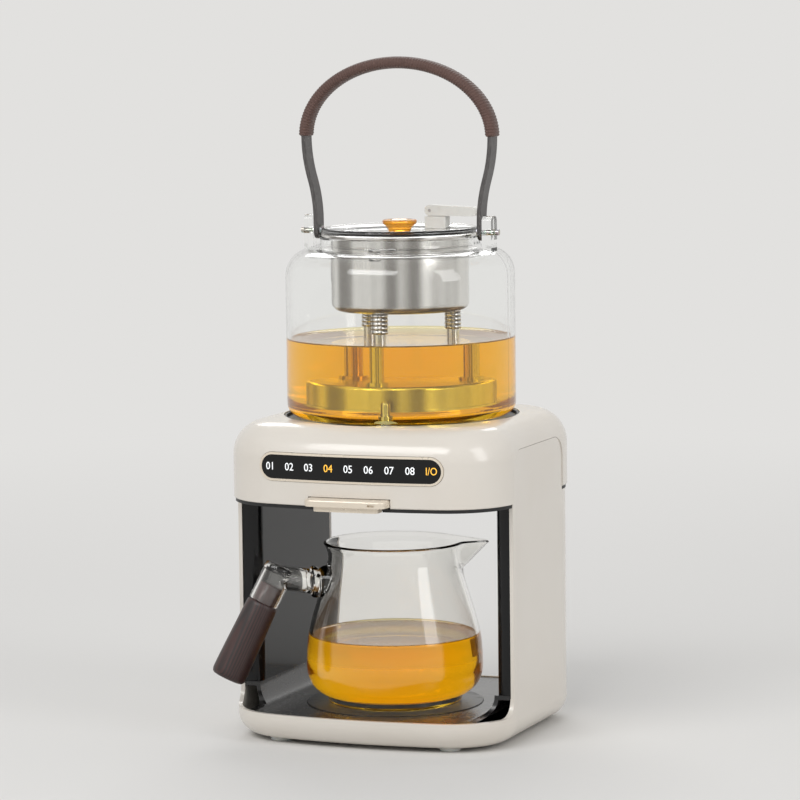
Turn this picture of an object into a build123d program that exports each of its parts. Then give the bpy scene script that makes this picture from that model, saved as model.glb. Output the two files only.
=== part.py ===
from build123d import *

import math
import os

os.makedirs("parts", exist_ok=True)

# Automatic tea maker: a glass kettle with a steel infuser on a heated head, two legs, and a tray
# with a keep-warm plate for the pouring jug. Millimetres, +Z up, front towards -Y.
# The origin is on the table, below the kettle's axis.

# clearances
slip = 0.2  # between parts that are lifted or slid by hand
fit = 0.3  # between moulded parts that clip together
running = 0.05  # radial, between a pin and its bore

# footprint shared by the base, the legs and the head
half_width = 86.0
front_reach = 85.4
bow_radius = 350.0
corner_radius = 39.5
rear_reach = 77.0
rear_radius = 38.0

# base
foot_height = 2.0
foot_radius = 6.5
foot_side_inset = 33.5
foot_front_inset = 20.9
foot_rear_inset = 17.0
foot_chamfer = 0.8
base_wall = 2.5
base_height = 26.5
base_round = 13.0
lip_height = 16.0
lip_curve = 10.0
cover_inset = 23.5
cover_ledge = 3.5
cover_screw_side_inset = 30.5
cover_screw_rear_inset = 42.0
cover_thickness = 2.4
vent_count = 7
vent_pitch = 7.0
vent_width = 2.2

# tray and keep-warm plate
tray_thickness = 2.5
tray_drop = 0.6
flare_radius = 12.0
flare_rise = 1.6
warm_radius = 52.0
warm_thickness = 3.0
warm_proud = 0.5
warm_lip = 3.0
warm_heater_radius = 40.0
warm_heater_thickness = 2.6

# legs
leg_setback = 38.4
leg_width = 12.5
leg_inner_round = 7.5
skin_thickness = 2.2
column_wall = 2.0
column_setback = 0.8
bay_height = 113.0
tongue_height = 30.5
tongue_round = 13.0

# head
head_step = 0.6
head_rear_step = 2.0
head_height = 45.5
head_round = 20.0
head_edge_round = 0.8
head_screw_side_inset = 24.0
head_screw_rear_inset = 25.0
head_wall = 2.5
head_floor_thickness = 2.0
head_floor_rim = 3.0
rim_thickness = 2.0
seat_radius = 69.5
seat_wall = 1.4
seat_depth = 2.5
seat_flange = 1.5
seat_flange_drop = 3.5
seat_rim_drop = 0.6
seat_thickness = 2.5
hot_plate_radius = 38.5
hot_plate_thickness = 3.0
hot_plate_flange = 2.6
plate_flange_thickness = 1.6
element_radius = 30.0
element_section = 4.0

# front panel
panel_half_length = 56.6
panel_height = 16.5
panel_rise = 22.0
bezel_width = 1.3
bezel_proud = 0.4
panel_thickness = 2.0
key_count = 9
key_pitch = 12.4
board_thickness = 1.6
board_setback = 13.9
board_margin = 6.0
chip_size = 10.0
chip_height = 2.0
foam_radius = 3.0
supply_x = -25.0
supply_y = 36.0
supply_rise = 5.0
supply_length = 60.0
supply_depth = 50.0
supply_hole_inset = 5.0
supply_parts_height = 14.0
transformer_size = 20.0
relay_pitch = 18.0
capacitor_radius = 5.0

# tea release
tab_width = 50.0
tab_step_width = 40.0
tab_reach = 9.5
tab_thickness = 4.2
tab_step_drop = 3.0
tab_depth = 18.0
tab_corner = 5.0
tab_edge_round = 1.5
tab_step_setback = 2.5
tab_step_depth = 8.0
tab_step_corner = 3.0
tab_slot_x = 17.0
tab_slot_rise = 1.6
tab_slot_length = 4.0
tab_slot_height = 1.2
tab_slot_depth = 1.5
tab_arm_width = 5.0
tab_travel = 4.0
tab_arm_root = 5.0
ramp_lead = 1.0
ramp_margin = 3.2
ramp_land = 2.0
ramp_heel = 6.0
guide_thickness = 2.0
guide_clear = 1.0
guide_stop = 5.0
valve_x = 10.0
valve_y = -50.0
drain_x = -1.0
drain_y = -47.0
cup_radius = 6.3
cup_wall = 1.3
cup_depth = 11.0
drain_radius = 3.0
drain_wall = 1.2
lifter_radius = 1.5
lifter_foot_radius = 2.0
lifter_foot_cut = 6.0
lifter_collar = 3.2
collar_rise = 5.5
collar_thickness = 1.5
spring_wire = 0.5
spring_turns = 6
poppet_radius = 2.7
poppet_height = 9.5
poppet_lip = 1.4
poppet_stem_radius = 1.2
poppet_gap = 0.1
valve_neck = 2.2
valve_flange = 1.6
valve_lip = 1.2

# kettle
kettle_radius = 67.5
kettle_wall = 2.4
kettle_heel = 7.5
kettle_straight = 82.8
shoulder_radius = 16.0
neck_radius = 47.0
neck_height = 6.8
neck_root = 3.0
lug_x = 56.0
lug_thickness = 5.8
lug_width = 10.0
lug_height = 18.7
pin_radius = 1.8
pin_rise = 9.3
pin_overhang = 3.2
pin_head = 1.2

# bail
strap_thickness = 2.5
strap_width = 10.0
bail_foot_x = 51.3
bail_half_span = 58.4
bail_knee_rise = 5.7
bail_leg_rise = 55.7
bail_arch_rise = 43.0
grip_thickness = 7.2
grip_width = 13.0

# infuser
basket_radius = 40.5
basket_wall = 1.0
basket_depth = 43.8
basket_round = 5.0
basket_flange = 5.6
flange_thickness = 1.2
riser_circle = 31.0
riser_radius = 3.65
riser_wall = 0.5
riser_angles = (28.0, 148.0, 268.0)
riser_top_drop = 14.0
ferrule_radius = 5.0
ferrule_height = 12.0
ferrule_rings = 5
basket_window_drop = 9.0
basket_window_width = 7.5
basket_window_height = 5.5
hood_collar = 2.0
cap_radius = 5.0
cap_height = 9.0
cap_grip = 4.0
cap_crown = 1.2
cap_slot = 2.4
hood_radius = 42.0
hood_height = 14.0
hood_wall = 1.0
hood_lift = 4.3
hood_rim = 1.6
drain_hole_radius = 1.4

# lid
lid_radius = 46.0
lid_glass_thickness = 2.2
lid_sag = 1.4
lid_dish_radius = 34.0
lid_seat_radius = 38.5
lid_bead = 1.7
knob_radius = 10.2
knob_foot_radius = 7.0
knob_height = 7.0
knob_round = 1.6
port_x = 11.0
port_y = 33.5
port_length = 13.5
port_width = 8.0
port_height = 7.0
plug_radius = 3.2
plug_depth = 6.0
port_bore = 1.5
lever_length = 26.5
lever_thickness = 6.4
lever_tip_thickness = 5.4
lever_hinge_inset = 3.4
lever_pin_radius = 0.9
tongue_width = 3.0
tongue_radius = 2.0
lever_tip_drop = 0.6

# jug
jug_y = -16.0
jug_wall = 2.2
jug_foot_radius = 38.8
jug_foot_height = 3.4
jug_foot_width = 3.3
jug_underside = 1.6
jug_heel_radius = 48.5
jug_heel_height = 9.8
jug_belly_radius = 51.4
jug_belly_height = 23.9
jug_flank_radius = 50.5
jug_flank_height = 37.9
jug_shoulder_radius = 44.5
jug_shoulder_height = 61.9
jug_waist_radius = 38.2
jug_lip_height = 10.0
jug_rim_round = 0.8
jug_mouth_radius = 41.0
jug_height = 95.0
spout_reach = 61.7
spout_half_width = 15.0
spout_drop = 20.0
spout_root_half_width = 5.0
spout_tip_round = 2.6
handle_bearing = 214.8
arm_radius = 7.85
arm_wall = 1.6
arm_height = 73.0
elbow_reach = 71.0
socket_radius = 8.75
socket_length = 17.0
socket_above = 7.0
socket_round = 4.0
spigot_length = 12.0
grip_lean = 27.0
wood_length = 49.0
wood_top_radius = 8.6
wood_end_radius = 10.2

# small hardware
screw_radius = 1.3
screw_head_radius = 2.8
screw_head_height = 1.0
boss_radius = 3.0
inlet_width = 21.0
inlet_height = 11.0
inlet_rise = 14.0
inlet_corner = 3.0
inlet_flange = 2.5
inlet_depth = 14.0
inlet_wall = 1.8
blade_pitch = 8.6
blade_radius = 1.2
blade_length = 8.0
harness_radius = 1.6
harness_bend = 6.0
harness_y = 20.0

# places and heights that follow
foot_x = half_width - foot_side_inset
foot_front_y = foot_front_inset - front_reach
foot_rear_y = rear_reach - foot_rear_inset
cover_screw_x = half_width - cover_screw_side_inset
cover_screw_y = rear_reach - cover_screw_rear_inset
leg_front_y = leg_setback - front_reach
leg_inner_x = half_width - leg_width
jug_waist_height = jug_height - jug_lip_height
seam_z = foot_height + base_height
lip_z = foot_height + lip_height
tray_z = lip_z - tray_drop
warm_z = tray_z + warm_proud
flare_top_z = seam_z + flare_rise
head_z = seam_z + bay_height
head_top_z = head_z + head_height
head_floor_z = head_z - head_floor_thickness
seat_z = head_top_z - seat_depth
hot_plate_z = head_top_z - 1.0
kettle_z = hot_plate_z + slip
kettle_inside_z = kettle_z + kettle_wall
shoulder_z = kettle_z + kettle_straight
shoulder_top_z = shoulder_z + shoulder_radius
neck_top_z = shoulder_top_z + neck_height
pin_z = shoulder_top_z + pin_rise
flange_z = neck_top_z + slip
basket_z = flange_z - basket_depth
hood_z = kettle_inside_z + hood_lift
hood_top_z = hood_z + hood_height
lid_z = flange_z + flange_thickness + slip
lid_top_z = lid_z - lid_sag + lid_glass_thickness
jug_z = warm_z + slip
rear_head = rear_reach + head_rear_step


def footprint(grow=0.0, rear=rear_reach):
    """Bowed front, large corners; grown or shrunk evenly all round."""
    side, front, bow = half_width + grow, front_reach + grow, bow_radius + grow
    corner_y = bow - front - math.sqrt(bow**2 - side**2)
    with BuildSketch() as outline:
        with BuildLine():
            ThreePointArc((-side, corner_y), (0, -front), (side, corner_y))
            Polyline((side, corner_y), (side, rear + grow), (-side, rear + grow), (-side, corner_y))
        make_face()
        fillet(outline.vertices().group_by(Axis.Y)[-1], rear_radius + grow)
        fillet(outline.vertices().group_by(Axis.Y)[0], corner_radius + grow)
    return outline.sketch


def leg_strip(grow, depth, rear_y, margin=0.0):
    """The outer band of the footprint that runs along both legs, as a plan sketch."""
    with BuildSketch() as band:
        add(footprint(grow))
        add(footprint(-depth), mode=Mode.SUBTRACT)
        with BuildSketch(mode=Mode.INTERSECT):
            for hand in (-1, 1):
                outer = half_width + 10
                inner = leg_inner_x - margin
                with Locations((hand * (outer + inner) / 2, (rear_y + leg_front_y) / 2)):
                    Rectangle(outer - inner, rear_y - leg_front_y + 2 * margin)
    return band.sketch


def head_form(grow=0.0):
    """The head's outer form with its rounded crown, offset evenly."""
    with BuildPart() as form:
        with BuildSketch(Plane.XY.offset(head_z)):
            add(footprint(head_step + grow, rear_head))
        extrude(amount=head_height + grow)
        fillet(form.edges().group_by(Axis.Z)[-1], head_round + grow)
    return form.part


def write(part, name):
    part.label = name
    export_step(part, f"parts/{name}.step")


# Region above the front lip: flat over the lip, then a concave curve up to the legs' front edge.
with BuildPart() as front_clearance:
    with BuildSketch(Plane.YZ):
        with BuildLine():
            Polyline((-2 * front_reach, head_z), (-2 * front_reach, lip_z), (leg_front_y - lip_curve, lip_z))
            RadiusArc((leg_front_y - lip_curve, lip_z), (leg_front_y, lip_z + lip_curve), -lip_curve)
            Polyline((leg_front_y, lip_z + lip_curve), (leg_front_y, head_z), (-2 * front_reach, head_z))
        make_face()
    extrude(amount=2 * half_width, both=True)

# Region between the legs above the floor of the bay.
with BuildPart() as rear_clearance:
    with BuildSketch(Plane.YZ):
        with Locations((rear_reach, (lip_z + head_z) / 2)):
            Rectangle(4 * base_wall, head_z - lip_z)
    extrude(amount=leg_inner_x, both=True)

cover_screws_at = [(x, y) for x in (-cover_screw_x, cover_screw_x) for y in (-cover_screw_y, cover_screw_y)]
feet_at = [(x, y) for x in (-foot_x, foot_x) for y in (foot_front_y, foot_rear_y)]


def tub(grow, bottom_z, top_z, bottom_round):
    """A block on the footprint with a rounded underside."""
    with BuildPart() as block:
        with BuildSketch(Plane.XY.offset(bottom_z)):
            add(footprint(grow))
        extrude(amount=top_z - bottom_z)
        fillet(block.edges().group_by(Axis.Z)[0], bottom_round)
    return block.part


# Base: shell, bottom cover, feet, screws.
with BuildPart() as base_shell:
    add(tub(0, foot_height, seam_z, base_round))
    add(tub(-base_wall, foot_height + base_wall, 2 * seam_z, base_round - base_wall), mode=Mode.SUBTRACT)
    add(front_clearance.part, mode=Mode.SUBTRACT)
    add(rear_clearance.part, mode=Mode.SUBTRACT)
    with BuildSketch(Plane.XY.offset(foot_height)):
        add(footprint(-cover_inset))
    extrude(amount=base_wall / 2, mode=Mode.SUBTRACT)
    with BuildSketch(Plane.XY.offset(foot_height)):
        add(footprint(-cover_inset - cover_ledge))
    extrude(amount=base_wall, mode=Mode.SUBTRACT)
    with BuildSketch(Plane.XY.offset(foot_height)):
        with Locations(*feet_at):
            Circle(foot_radius + running)
    extrude(amount=base_wall / 2, mode=Mode.SUBTRACT)
write(base_shell.part, "base_shell")

with BuildPart() as feet:
    with BuildSketch():
        with Locations(*feet_at):
            Circle(foot_radius)
    extrude(amount=foot_height + base_wall / 2)
    chamfer(feet.edges().group_by(Axis.Z)[0], foot_chamfer)
write(feet.part, "feet")

tray_under_z = tray_z - tray_thickness
cover_top_z = foot_height + cover_thickness
with BuildPart() as bottom_cover:
    with BuildSketch(Plane.XY.offset(foot_height)):
        add(footprint(-cover_inset - fit))
    extrude(amount=base_wall / 2 - running)
    with BuildSketch(Plane.XY.offset(foot_height)):
        add(footprint(-cover_inset - cover_ledge - fit))
    extrude(amount=cover_thickness)
    with BuildSketch(Plane.XY.offset(foot_height)):
        with GridLocations(0, vent_pitch, 1, vent_count):
            SlotOverall(foot_x, vent_width)
    extrude(amount=cover_thickness, mode=Mode.SUBTRACT)
    with Locations(*[Pos(x, y, foot_height) * Rot(180, 0, 0) for x, y in cover_screws_at]):
        CounterBoreHole(screw_radius + slip, screw_head_radius + slip, screw_head_height + slip)
write(bottom_cover.part, "bottom_cover")

with BuildPart() as cover_screws:
    with BuildSketch(Plane.XY.offset(foot_height + slip)):
        with Locations(*cover_screws_at):
            Circle(screw_head_radius)
    extrude(amount=screw_head_height)
    with BuildSketch(Plane.XY.offset(foot_height + slip)):
        with Locations(*cover_screws_at):
            Circle(screw_radius)
    extrude(amount=tray_under_z - foot_height - 1)
write(cover_screws.part, "cover_screws")

# Tray: one bent sheet that is flat in the middle and flares up to both legs.
flare_x = leg_inner_x - flare_radius
flange_under_z = flare_top_z - tray_thickness
flare_centre_z = tray_z + flare_radius
flare_outer = flare_radius + tray_thickness
flare_sweep = 90 - math.degrees(math.asin((flare_centre_z - flange_under_z) / flare_outer))
with BuildPart() as tray:
    with BuildSketch(Plane.XZ) as tray_profile:
        with BuildLine():
            Line((0, tray_z), (flare_x, tray_z))
            CenterArc((flare_x, flare_centre_z), flare_radius, -90, 90)
            Polyline((leg_inner_x, flare_centre_z), (leg_inner_x, flare_top_z),
                     (2 * half_width, flare_top_z), (2 * half_width, flange_under_z))
            under_arc = CenterArc((flare_x, flare_centre_z), flare_outer, -90, flare_sweep)
            Line((2 * half_width, flange_under_z), under_arc @ 1)
            Polyline(under_arc @ 0, (0, tray_under_z), (0, tray_z))
        make_face()
        mirror(about=Plane.YZ)
    extrude(amount=2 * half_width, both=True)
    with BuildSketch(Plane.XY):
        add(footprint(-base_wall - fit))
    extrude(amount=head_z, mode=Mode.INTERSECT)
    add(front_clearance.part, mode=Mode.SUBTRACT)
    with BuildSketch(Plane.XY.offset(cover_top_z + running)):
        with Locations(*cover_screws_at):
            Circle(boss_radius)
    extrude(amount=tray_z - cover_top_z - running - tray_thickness / 2)
    with BuildSketch(Plane.XY.offset(cover_top_z)):
        with Locations(*cover_screws_at):
            Circle(screw_radius + running)
    extrude(amount=tray_under_z - cover_top_z, mode=Mode.SUBTRACT)
    with Locations((0, jug_y, tray_z)):
        Hole(warm_radius + slip, depth=tray_thickness)
    with Locations((-(leg_inner_x + half_width) / 2 + 1, harness_y, flare_top_z)):
        Hole(harness_radius + fit, depth=tray_thickness)
write(tray.part, "tray")

# Keep-warm plate: its flange seats under the tray; the film heater is bonded below it.
with BuildPart() as warming_plate:
    with BuildSketch(Plane.XY.offset(tray_under_z - warm_lip / 2)):
        with Locations((0, jug_y)):
            Circle(warm_radius + warm_lip)
    extrude(amount=warm_lip / 2)
    with BuildSketch(Plane.XY.offset(tray_under_z)):
        with Locations((0, jug_y)):
            Circle(warm_radius)
    extrude(amount=warm_z - tray_under_z)
    fillet(warming_plate.edges().group_by(Axis.Z)[-1], 0.4)
write(warming_plate.part, "warming_plate")

warm_heater_z = tray_under_z - warm_lip / 2 - warm_heater_thickness
with BuildPart() as warming_heater:
    with BuildSketch(Plane.XY.offset(warm_heater_z)):
        with Locations((0, jug_y)):
            Circle(warm_heater_radius)
            Circle(warm_heater_radius / 3, mode=Mode.SUBTRACT)
    extrude(amount=warm_heater_thickness)
write(warming_heater.part, "warming_heater")


# Legs: an ivory skin outside and a black column inside, on both sides.
tongue_rear_y = rear_reach - rear_radius


def tongue_window(margin=0.0):
    """The rounded window in each flank of the head that a skin's tongue fills, right across."""
    length = tongue_rear_y - leg_front_y + 2 * margin
    height = tongue_height + head_floor_thickness + margin
    with BuildPart() as window:
        with BuildSketch(Plane.YZ) as view:
            with Locations(((tongue_rear_y + leg_front_y) / 2, head_floor_z + height / 2)):
                Rectangle(length, height)
            fillet(view.vertices().group_by(Axis.Y)[-1], tongue_round + margin)
        extrude(amount=2 * half_width, both=True)
    return window.part


for hand, side in ((-1, "left"), (1, "right")):
    with BuildPart() as leg_skin:
        with BuildSketch(Plane.XY.offset(head_floor_z)):
            add(leg_strip(0, skin_thickness, tongue_rear_y))
        extrude(amount=head_height)
        add(tongue_window(), mode=Mode.INTERSECT)
        with BuildSketch(Plane.XY.offset(seam_z)):
            add(leg_strip(0, skin_thickness, 2 * rear_reach))
        extrude(amount=head_floor_z - seam_z)
        split(bisect_by=Plane.YZ, keep=Keep.TOP if hand > 0 else Keep.BOTTOM)
    write(leg_skin.part, f"leg_skin_{side}")

    with BuildPart() as leg_column:
        with BuildSketch(Plane.XY.offset(flare_top_z)) as column_plan:
            add(footprint(-skin_thickness - slip))
            column_y = leg_front_y + column_setback + rear_reach
            with Locations((hand * (leg_inner_x + half_width) / 2, column_y)):
                Rectangle(half_width - leg_inner_x, 2 * rear_reach, mode=Mode.INTERSECT)
            front_corners = column_plan.vertices().group_by(Axis.Y)[0]
            fillet(front_corners.sort_by(Axis.X)[0 if hand > 0 else -1], leg_inner_round)
        extrude(amount=head_floor_z - flare_top_z)
        offset(amount=-column_wall, openings=leg_column.faces().group_by(Axis.Z)[0]
               + leg_column.faces().group_by(Axis.Z)[-1])
    write(leg_column.part, f"leg_column_{side}")


# Head: ivory shell, black lower cover, screws.
head_screw_x, head_screw_y = half_width - head_screw_side_inset, rear_reach - head_screw_rear_inset
head_screws_at = [(x, y) for x in (-head_screw_x, head_screw_x) for y in (-head_screw_y, head_screw_y)]
panel_z = head_z + panel_rise
tab_z = head_z + 1.1
tab_top_z = tab_z + tab_thickness
inlet_z = head_z + inlet_rise
harness_x = -(half_width - skin_thickness - slip + leg_inner_x) / 2


def pill_prism(grow):
    """The panel outline carried back through the head's front wall."""
    with BuildPart() as prism:
        with BuildSketch(Plane.XZ.offset(front_reach - 2 * head_round)):
            with Locations((0, panel_z)):
                SlotOverall(2 * (panel_half_length + grow), panel_height + 2 * grow)
        extrude(amount=3 * head_round)
    return prism.part


with BuildPart() as head_shell:
    add(head_form())
    fillet(head_shell.edges().group_by(Axis.Z)[0], head_edge_round)
    add(head_form(-head_wall), mode=Mode.SUBTRACT)
    add(tongue_window(slip), mode=Mode.SUBTRACT)
    add(pill_prism(slip), mode=Mode.SUBTRACT)
    with BuildSketch(Plane.XY.offset(head_z)):
        with Locations((0, -front_reach)):
            Rectangle(tab_width + 2 * fit, 4 * head_wall + 20)
    extrude(amount=tab_top_z + fit - head_z, mode=Mode.SUBTRACT)
    with BuildSketch(Plane.XZ.offset(-rear_head - 2 * head_wall)):
        with Locations((0, inlet_z)):
            RectangleRounded(inlet_width, inlet_height, inlet_corner)
    extrude(amount=4 * head_wall, mode=Mode.SUBTRACT)
    with BuildSketch(Plane.XY.offset(head_z)):
        Circle(seat_radius)
    extrude(amount=2 * head_height, mode=Mode.SUBTRACT)
    with BuildSketch(Plane.XY.offset(head_z)):
        with Locations(*head_screws_at):
            Circle(boss_radius)
    extrude(amount=head_height - head_wall + head_edge_round)
    with BuildSketch(Plane.XY.offset(head_z)):
        with Locations(*head_screws_at):
            Circle(screw_radius + running)
    extrude(amount=head_height / 3, mode=Mode.SUBTRACT)
write(head_shell.part, "head_shell")

supply_z = head_z + supply_rise
tab_rear_y = tab_depth - tab_reach - front_reach
guide_front_y = tab_rear_y + tab_travel + guide_clear
guide_rear_y = valve_y - guide_stop
with BuildPart() as head_floor:
    with BuildSketch(Plane.XY.offset(head_floor_z)):
        add(footprint(head_step - 1, rear_head))
        add(leg_strip(2 * head_step, skin_thickness + slip, tongue_rear_y, slip), mode=Mode.SUBTRACT)
    extrude(amount=head_floor_thickness - running)
    with BuildSketch(Plane.XY.offset(head_floor_z)):
        add(footprint(-skin_thickness - fit))
        add(footprint(-skin_thickness - fit - rim_thickness), mode=Mode.SUBTRACT)
    extrude(amount=head_floor_thickness + head_floor_rim)
    with BuildSketch(Plane.XY.offset(head_floor_z)):
        with Locations((0, -front_reach)):
            Rectangle(tab_step_width + 2 * fit, 2 * (tab_travel + 2.5))
    extrude(amount=head_floor_thickness, mode=Mode.SUBTRACT)
    with BuildSketch(Plane.XY.offset(head_z - running)):
        with Locations((0, -front_reach)):
            Rectangle(tab_width + 2 * fit, 4 * rim_thickness + 12)
    extrude(amount=2 * head_floor_rim, mode=Mode.SUBTRACT)
    with BuildSketch(Plane.XY.offset(head_floor_z)):
        with Locations((supply_x, supply_y)):
            hole_span_x = supply_length - 2 * supply_hole_inset
            hole_span_y = supply_depth - 2 * supply_hole_inset
            with GridLocations(hole_span_x, hole_span_y, 2, 2):
                Circle(boss_radius)
    extrude(amount=supply_z - head_floor_z)
    with BuildSketch(Plane.XY.offset(head_z - running)):
        with Locations((valve_x, (guide_front_y + guide_rear_y) / 2)):
            with GridLocations(tab_arm_width + 2 * fit + guide_thickness, 0, 2, 1):
                Rectangle(guide_thickness, guide_rear_y - guide_front_y)
    extrude(amount=tab_thickness)
    with Locations(*[Pos(x, y, head_floor_z) * Rot(180, 0, 0) for x, y in head_screws_at]):
        CounterBoreHole(screw_radius + slip, screw_head_radius + slip, screw_head_height)
    with Locations((drain_x, drain_y, head_z)):
        Hole(drain_radius + drain_wall + slip)
    with Locations((harness_x, harness_y, head_z)):
        Hole(harness_radius + fit)
write(head_floor.part, "head_floor")

with BuildPart() as head_screws:
    with BuildSketch(Plane.XY.offset(head_floor_z)):
        with Locations(*head_screws_at):
            Circle(screw_head_radius)
    extrude(amount=screw_head_height - running)
    with BuildSketch(Plane.XY.offset(head_floor_z)):
        with Locations(*head_screws_at):
            Circle(screw_radius)
    extrude(amount=head_height / 3 - 1)
write(head_screws.part, "head_screws")

# Kettle seat, hot plate, element, sensor and the bridge that carries them.
seat_under_z = seat_z - seat_thickness
with BuildPart() as seat_ring:
    with BuildSketch(Plane.XY.offset(seat_under_z)):
        Circle(seat_radius + seat_flange)
    extrude(amount=head_top_z - seat_flange_drop - seat_under_z)
    add(head_form(-head_wall - slip), mode=Mode.INTERSECT)
    with BuildSketch(Plane.XZ):
        with BuildLine():
            outer = seat_radius - slip
            Polyline((0, seat_under_z), (outer, seat_under_z), (outer, head_top_z - seat_rim_drop),
                     (outer - seat_wall, head_top_z - seat_rim_drop), (outer - seat_wall, seat_z),
                     (0, seat_z), close=True)
        make_face()
    revolve(axis=Axis.Z)
    with Locations((0, 0, seat_z)):
        Hole(hot_plate_radius + slip)
    drain_run = math.hypot(valve_x - drain_x, valve_y - drain_y)
    drain_turn = math.degrees(math.atan2(valve_y - drain_y, valve_x - drain_x))
    with BuildSketch(Plane.XY.offset(seat_under_z)):
        with Locations(((valve_x + drain_x) / 2, (valve_y + drain_y) / 2)):
            SlotCenterToCenter(drain_run, 2 * cup_radius, rotation=drain_turn)
    extrude(amount=seat_depth + seat_thickness, mode=Mode.SUBTRACT)
write(seat_ring.part, "seat_ring")

plate_under_z = seat_under_z - running - plate_flange_thickness
with BuildPart() as hot_plate:
    with BuildSketch(Plane.XY.offset(plate_under_z)):
        Circle(hot_plate_radius)
    extrude(amount=hot_plate_z - plate_under_z)
    fillet(hot_plate.edges().group_by(Axis.Z)[-1], 0.8)
    with BuildSketch(Plane.XY.offset(plate_under_z)):
        Circle(hot_plate_radius + hot_plate_flange)
        with Locations(((valve_x + drain_x) / 2, (valve_y + drain_y) / 2)):
            SlotCenterToCenter(drain_run, 2 * (cup_radius + cup_wall + slip), rotation=drain_turn,
                               mode=Mode.SUBTRACT)
    extrude(amount=plate_flange_thickness)
write(hot_plate.part, "hot_plate")

element_z = plate_under_z - element_section
with BuildPart() as heating_element:
    with BuildSketch(Plane.XY.offset(element_z)):
        SlotArc(CenterArc((0, 0), element_radius, 100, 340), element_section)
    extrude(amount=element_section)
write(heating_element.part, "heating_element")

with BuildPart() as temperature_sensor:
    with BuildSketch(Plane.XZ):
        with BuildLine():
            Polyline((0, element_z - 6), (4, element_z - 6), (4, element_z - 3), (6.5, element_z - 3),
                     (6.5, element_z - 1.6), (5, element_z - 1.6), (5, plate_under_z), (0, plate_under_z),
                     close=True)
        make_face()
    revolve(axis=Axis.Z)
write(temperature_sensor.part, "temperature_sensor")

bridge_reach, bridge_width, bridge_gauge = 62.0, 14.0, 1.5
with BuildPart() as plate_bridge:
    with BuildSketch(Plane.XZ):
        with BuildLine():
            knee = bridge_reach - 7
            Polyline((0, element_z), (knee, element_z), (knee, seat_under_z), (bridge_reach, seat_under_z),
                     (bridge_reach, seat_under_z - bridge_gauge),
                     (knee + bridge_gauge, seat_under_z - bridge_gauge),
                     (knee + bridge_gauge, element_z - bridge_gauge),
                     (0, element_z - bridge_gauge), close=True)
        make_face()
        mirror(about=Plane.YZ)
    extrude(amount=bridge_width / 2, both=True)
    with Locations((0, 0, element_z)):
        Hole(5.2)
write(plate_bridge.part, "plate_bridge")

# Touch panel: black lens and metal bezel that follow the head's bowed front.
with BuildPart() as touch_panel:
    add(pill_prism(-bezel_width - running))
    add(head_form(), mode=Mode.INTERSECT)
    add(head_form(-panel_thickness), mode=Mode.SUBTRACT)
write(touch_panel.part, "touch_panel")

with BuildPart() as panel_bezel:
    add(pill_prism(0))
    add(pill_prism(-bezel_width), mode=Mode.SUBTRACT)
    add(head_form(bezel_proud), mode=Mode.INTERSECT)
    add(head_form(-panel_thickness), mode=Mode.SUBTRACT)
write(panel_bezel.part, "panel_bezel")

board_front = front_reach - board_setback
with BuildPart() as control_board:
    with BuildSketch(Plane.XZ.offset(board_front - board_thickness)):
        with Locations((0, panel_z)):
            Rectangle(2 * (panel_half_length - board_margin), panel_height - 2 * slip)
    extrude(amount=board_thickness)
    with BuildSketch(Plane.XZ.offset(board_front - board_thickness - chip_height)):
        with Locations((0, panel_z)):
            with GridLocations(2 * chip_size, 0, 3, 1):
                Rectangle(chip_size, chip_size)
    extrude(amount=chip_height)
write(control_board.part, "control_board")

with BuildPart() as touch_foams:
    with BuildSketch(Plane.XZ.offset(board_front)):
        with Locations((0, panel_z)):
            with GridLocations(key_pitch, 0, key_count, 1):
                Circle(foam_radius)
    extrude(amount=head_round)
    add(head_form(-panel_thickness - running), mode=Mode.INTERSECT)
write(touch_foams.part, "touch_foams")

with BuildPart() as power_board:
    with BuildSketch(Plane.XY.offset(supply_z)):
        with Locations((supply_x, supply_y)):
            Rectangle(supply_length, supply_depth)
    extrude(amount=board_thickness)
    with BuildSketch(Plane.XY.offset(supply_z + board_thickness)):
        with Locations((supply_x - transformer_size / 2, supply_y + relay_pitch / 2)):
            Rectangle(transformer_size, transformer_size - 3)
        with Locations((supply_x + 0.7 * transformer_size, supply_y)):
            with GridLocations(0, relay_pitch, 1, 2):
                Rectangle(transformer_size - 1, transformer_size - 5)
    extrude(amount=supply_parts_height)
    with BuildSketch(Plane.XY.offset(supply_z + board_thickness)):
        with Locations((supply_x - transformer_size / 3, supply_y - 0.7 * transformer_size)):
            Circle(capacitor_radius)
    extrude(amount=supply_parts_height - 2)
write(power_board.part, "power_board")

with BuildPart() as power_inlet:
    wall_inside = -(rear_head + head_step - head_wall)
    with BuildSketch(Plane.XZ.offset(wall_inside + board_thickness)):
        with Locations((0, inlet_z)):
            RectangleRounded(inlet_width + 2 * inlet_flange, inlet_height + 2 * inlet_flange,
                             inlet_corner - 1)
    extrude(amount=slip - board_thickness, mode=Mode.ADD)
    with BuildSketch(Plane.XZ.offset(wall_inside + inlet_depth)):
        with Locations((0, inlet_z)):
            RectangleRounded(inlet_width - 2 * slip, inlet_height - 2 * slip, inlet_corner - slip)
    extrude(amount=-inlet_depth - head_wall)
    with BuildSketch(Plane.XZ.offset(wall_inside - head_wall)):
        with Locations((0, inlet_z)):
            SlotOverall(inlet_width - 2 * inlet_wall, inlet_height - 2 * inlet_wall)
    extrude(amount=inlet_depth - inlet_corner, mode=Mode.SUBTRACT)
    with BuildSketch(Plane.XZ.offset(wall_inside + inlet_depth - 2 * inlet_flange)):
        with Locations((0, inlet_z)):
            with GridLocations(blade_pitch, 0, 2, 1):
                Circle(blade_radius)
    extrude(amount=-blade_length)
write(power_inlet.part, "power_inlet")

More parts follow.
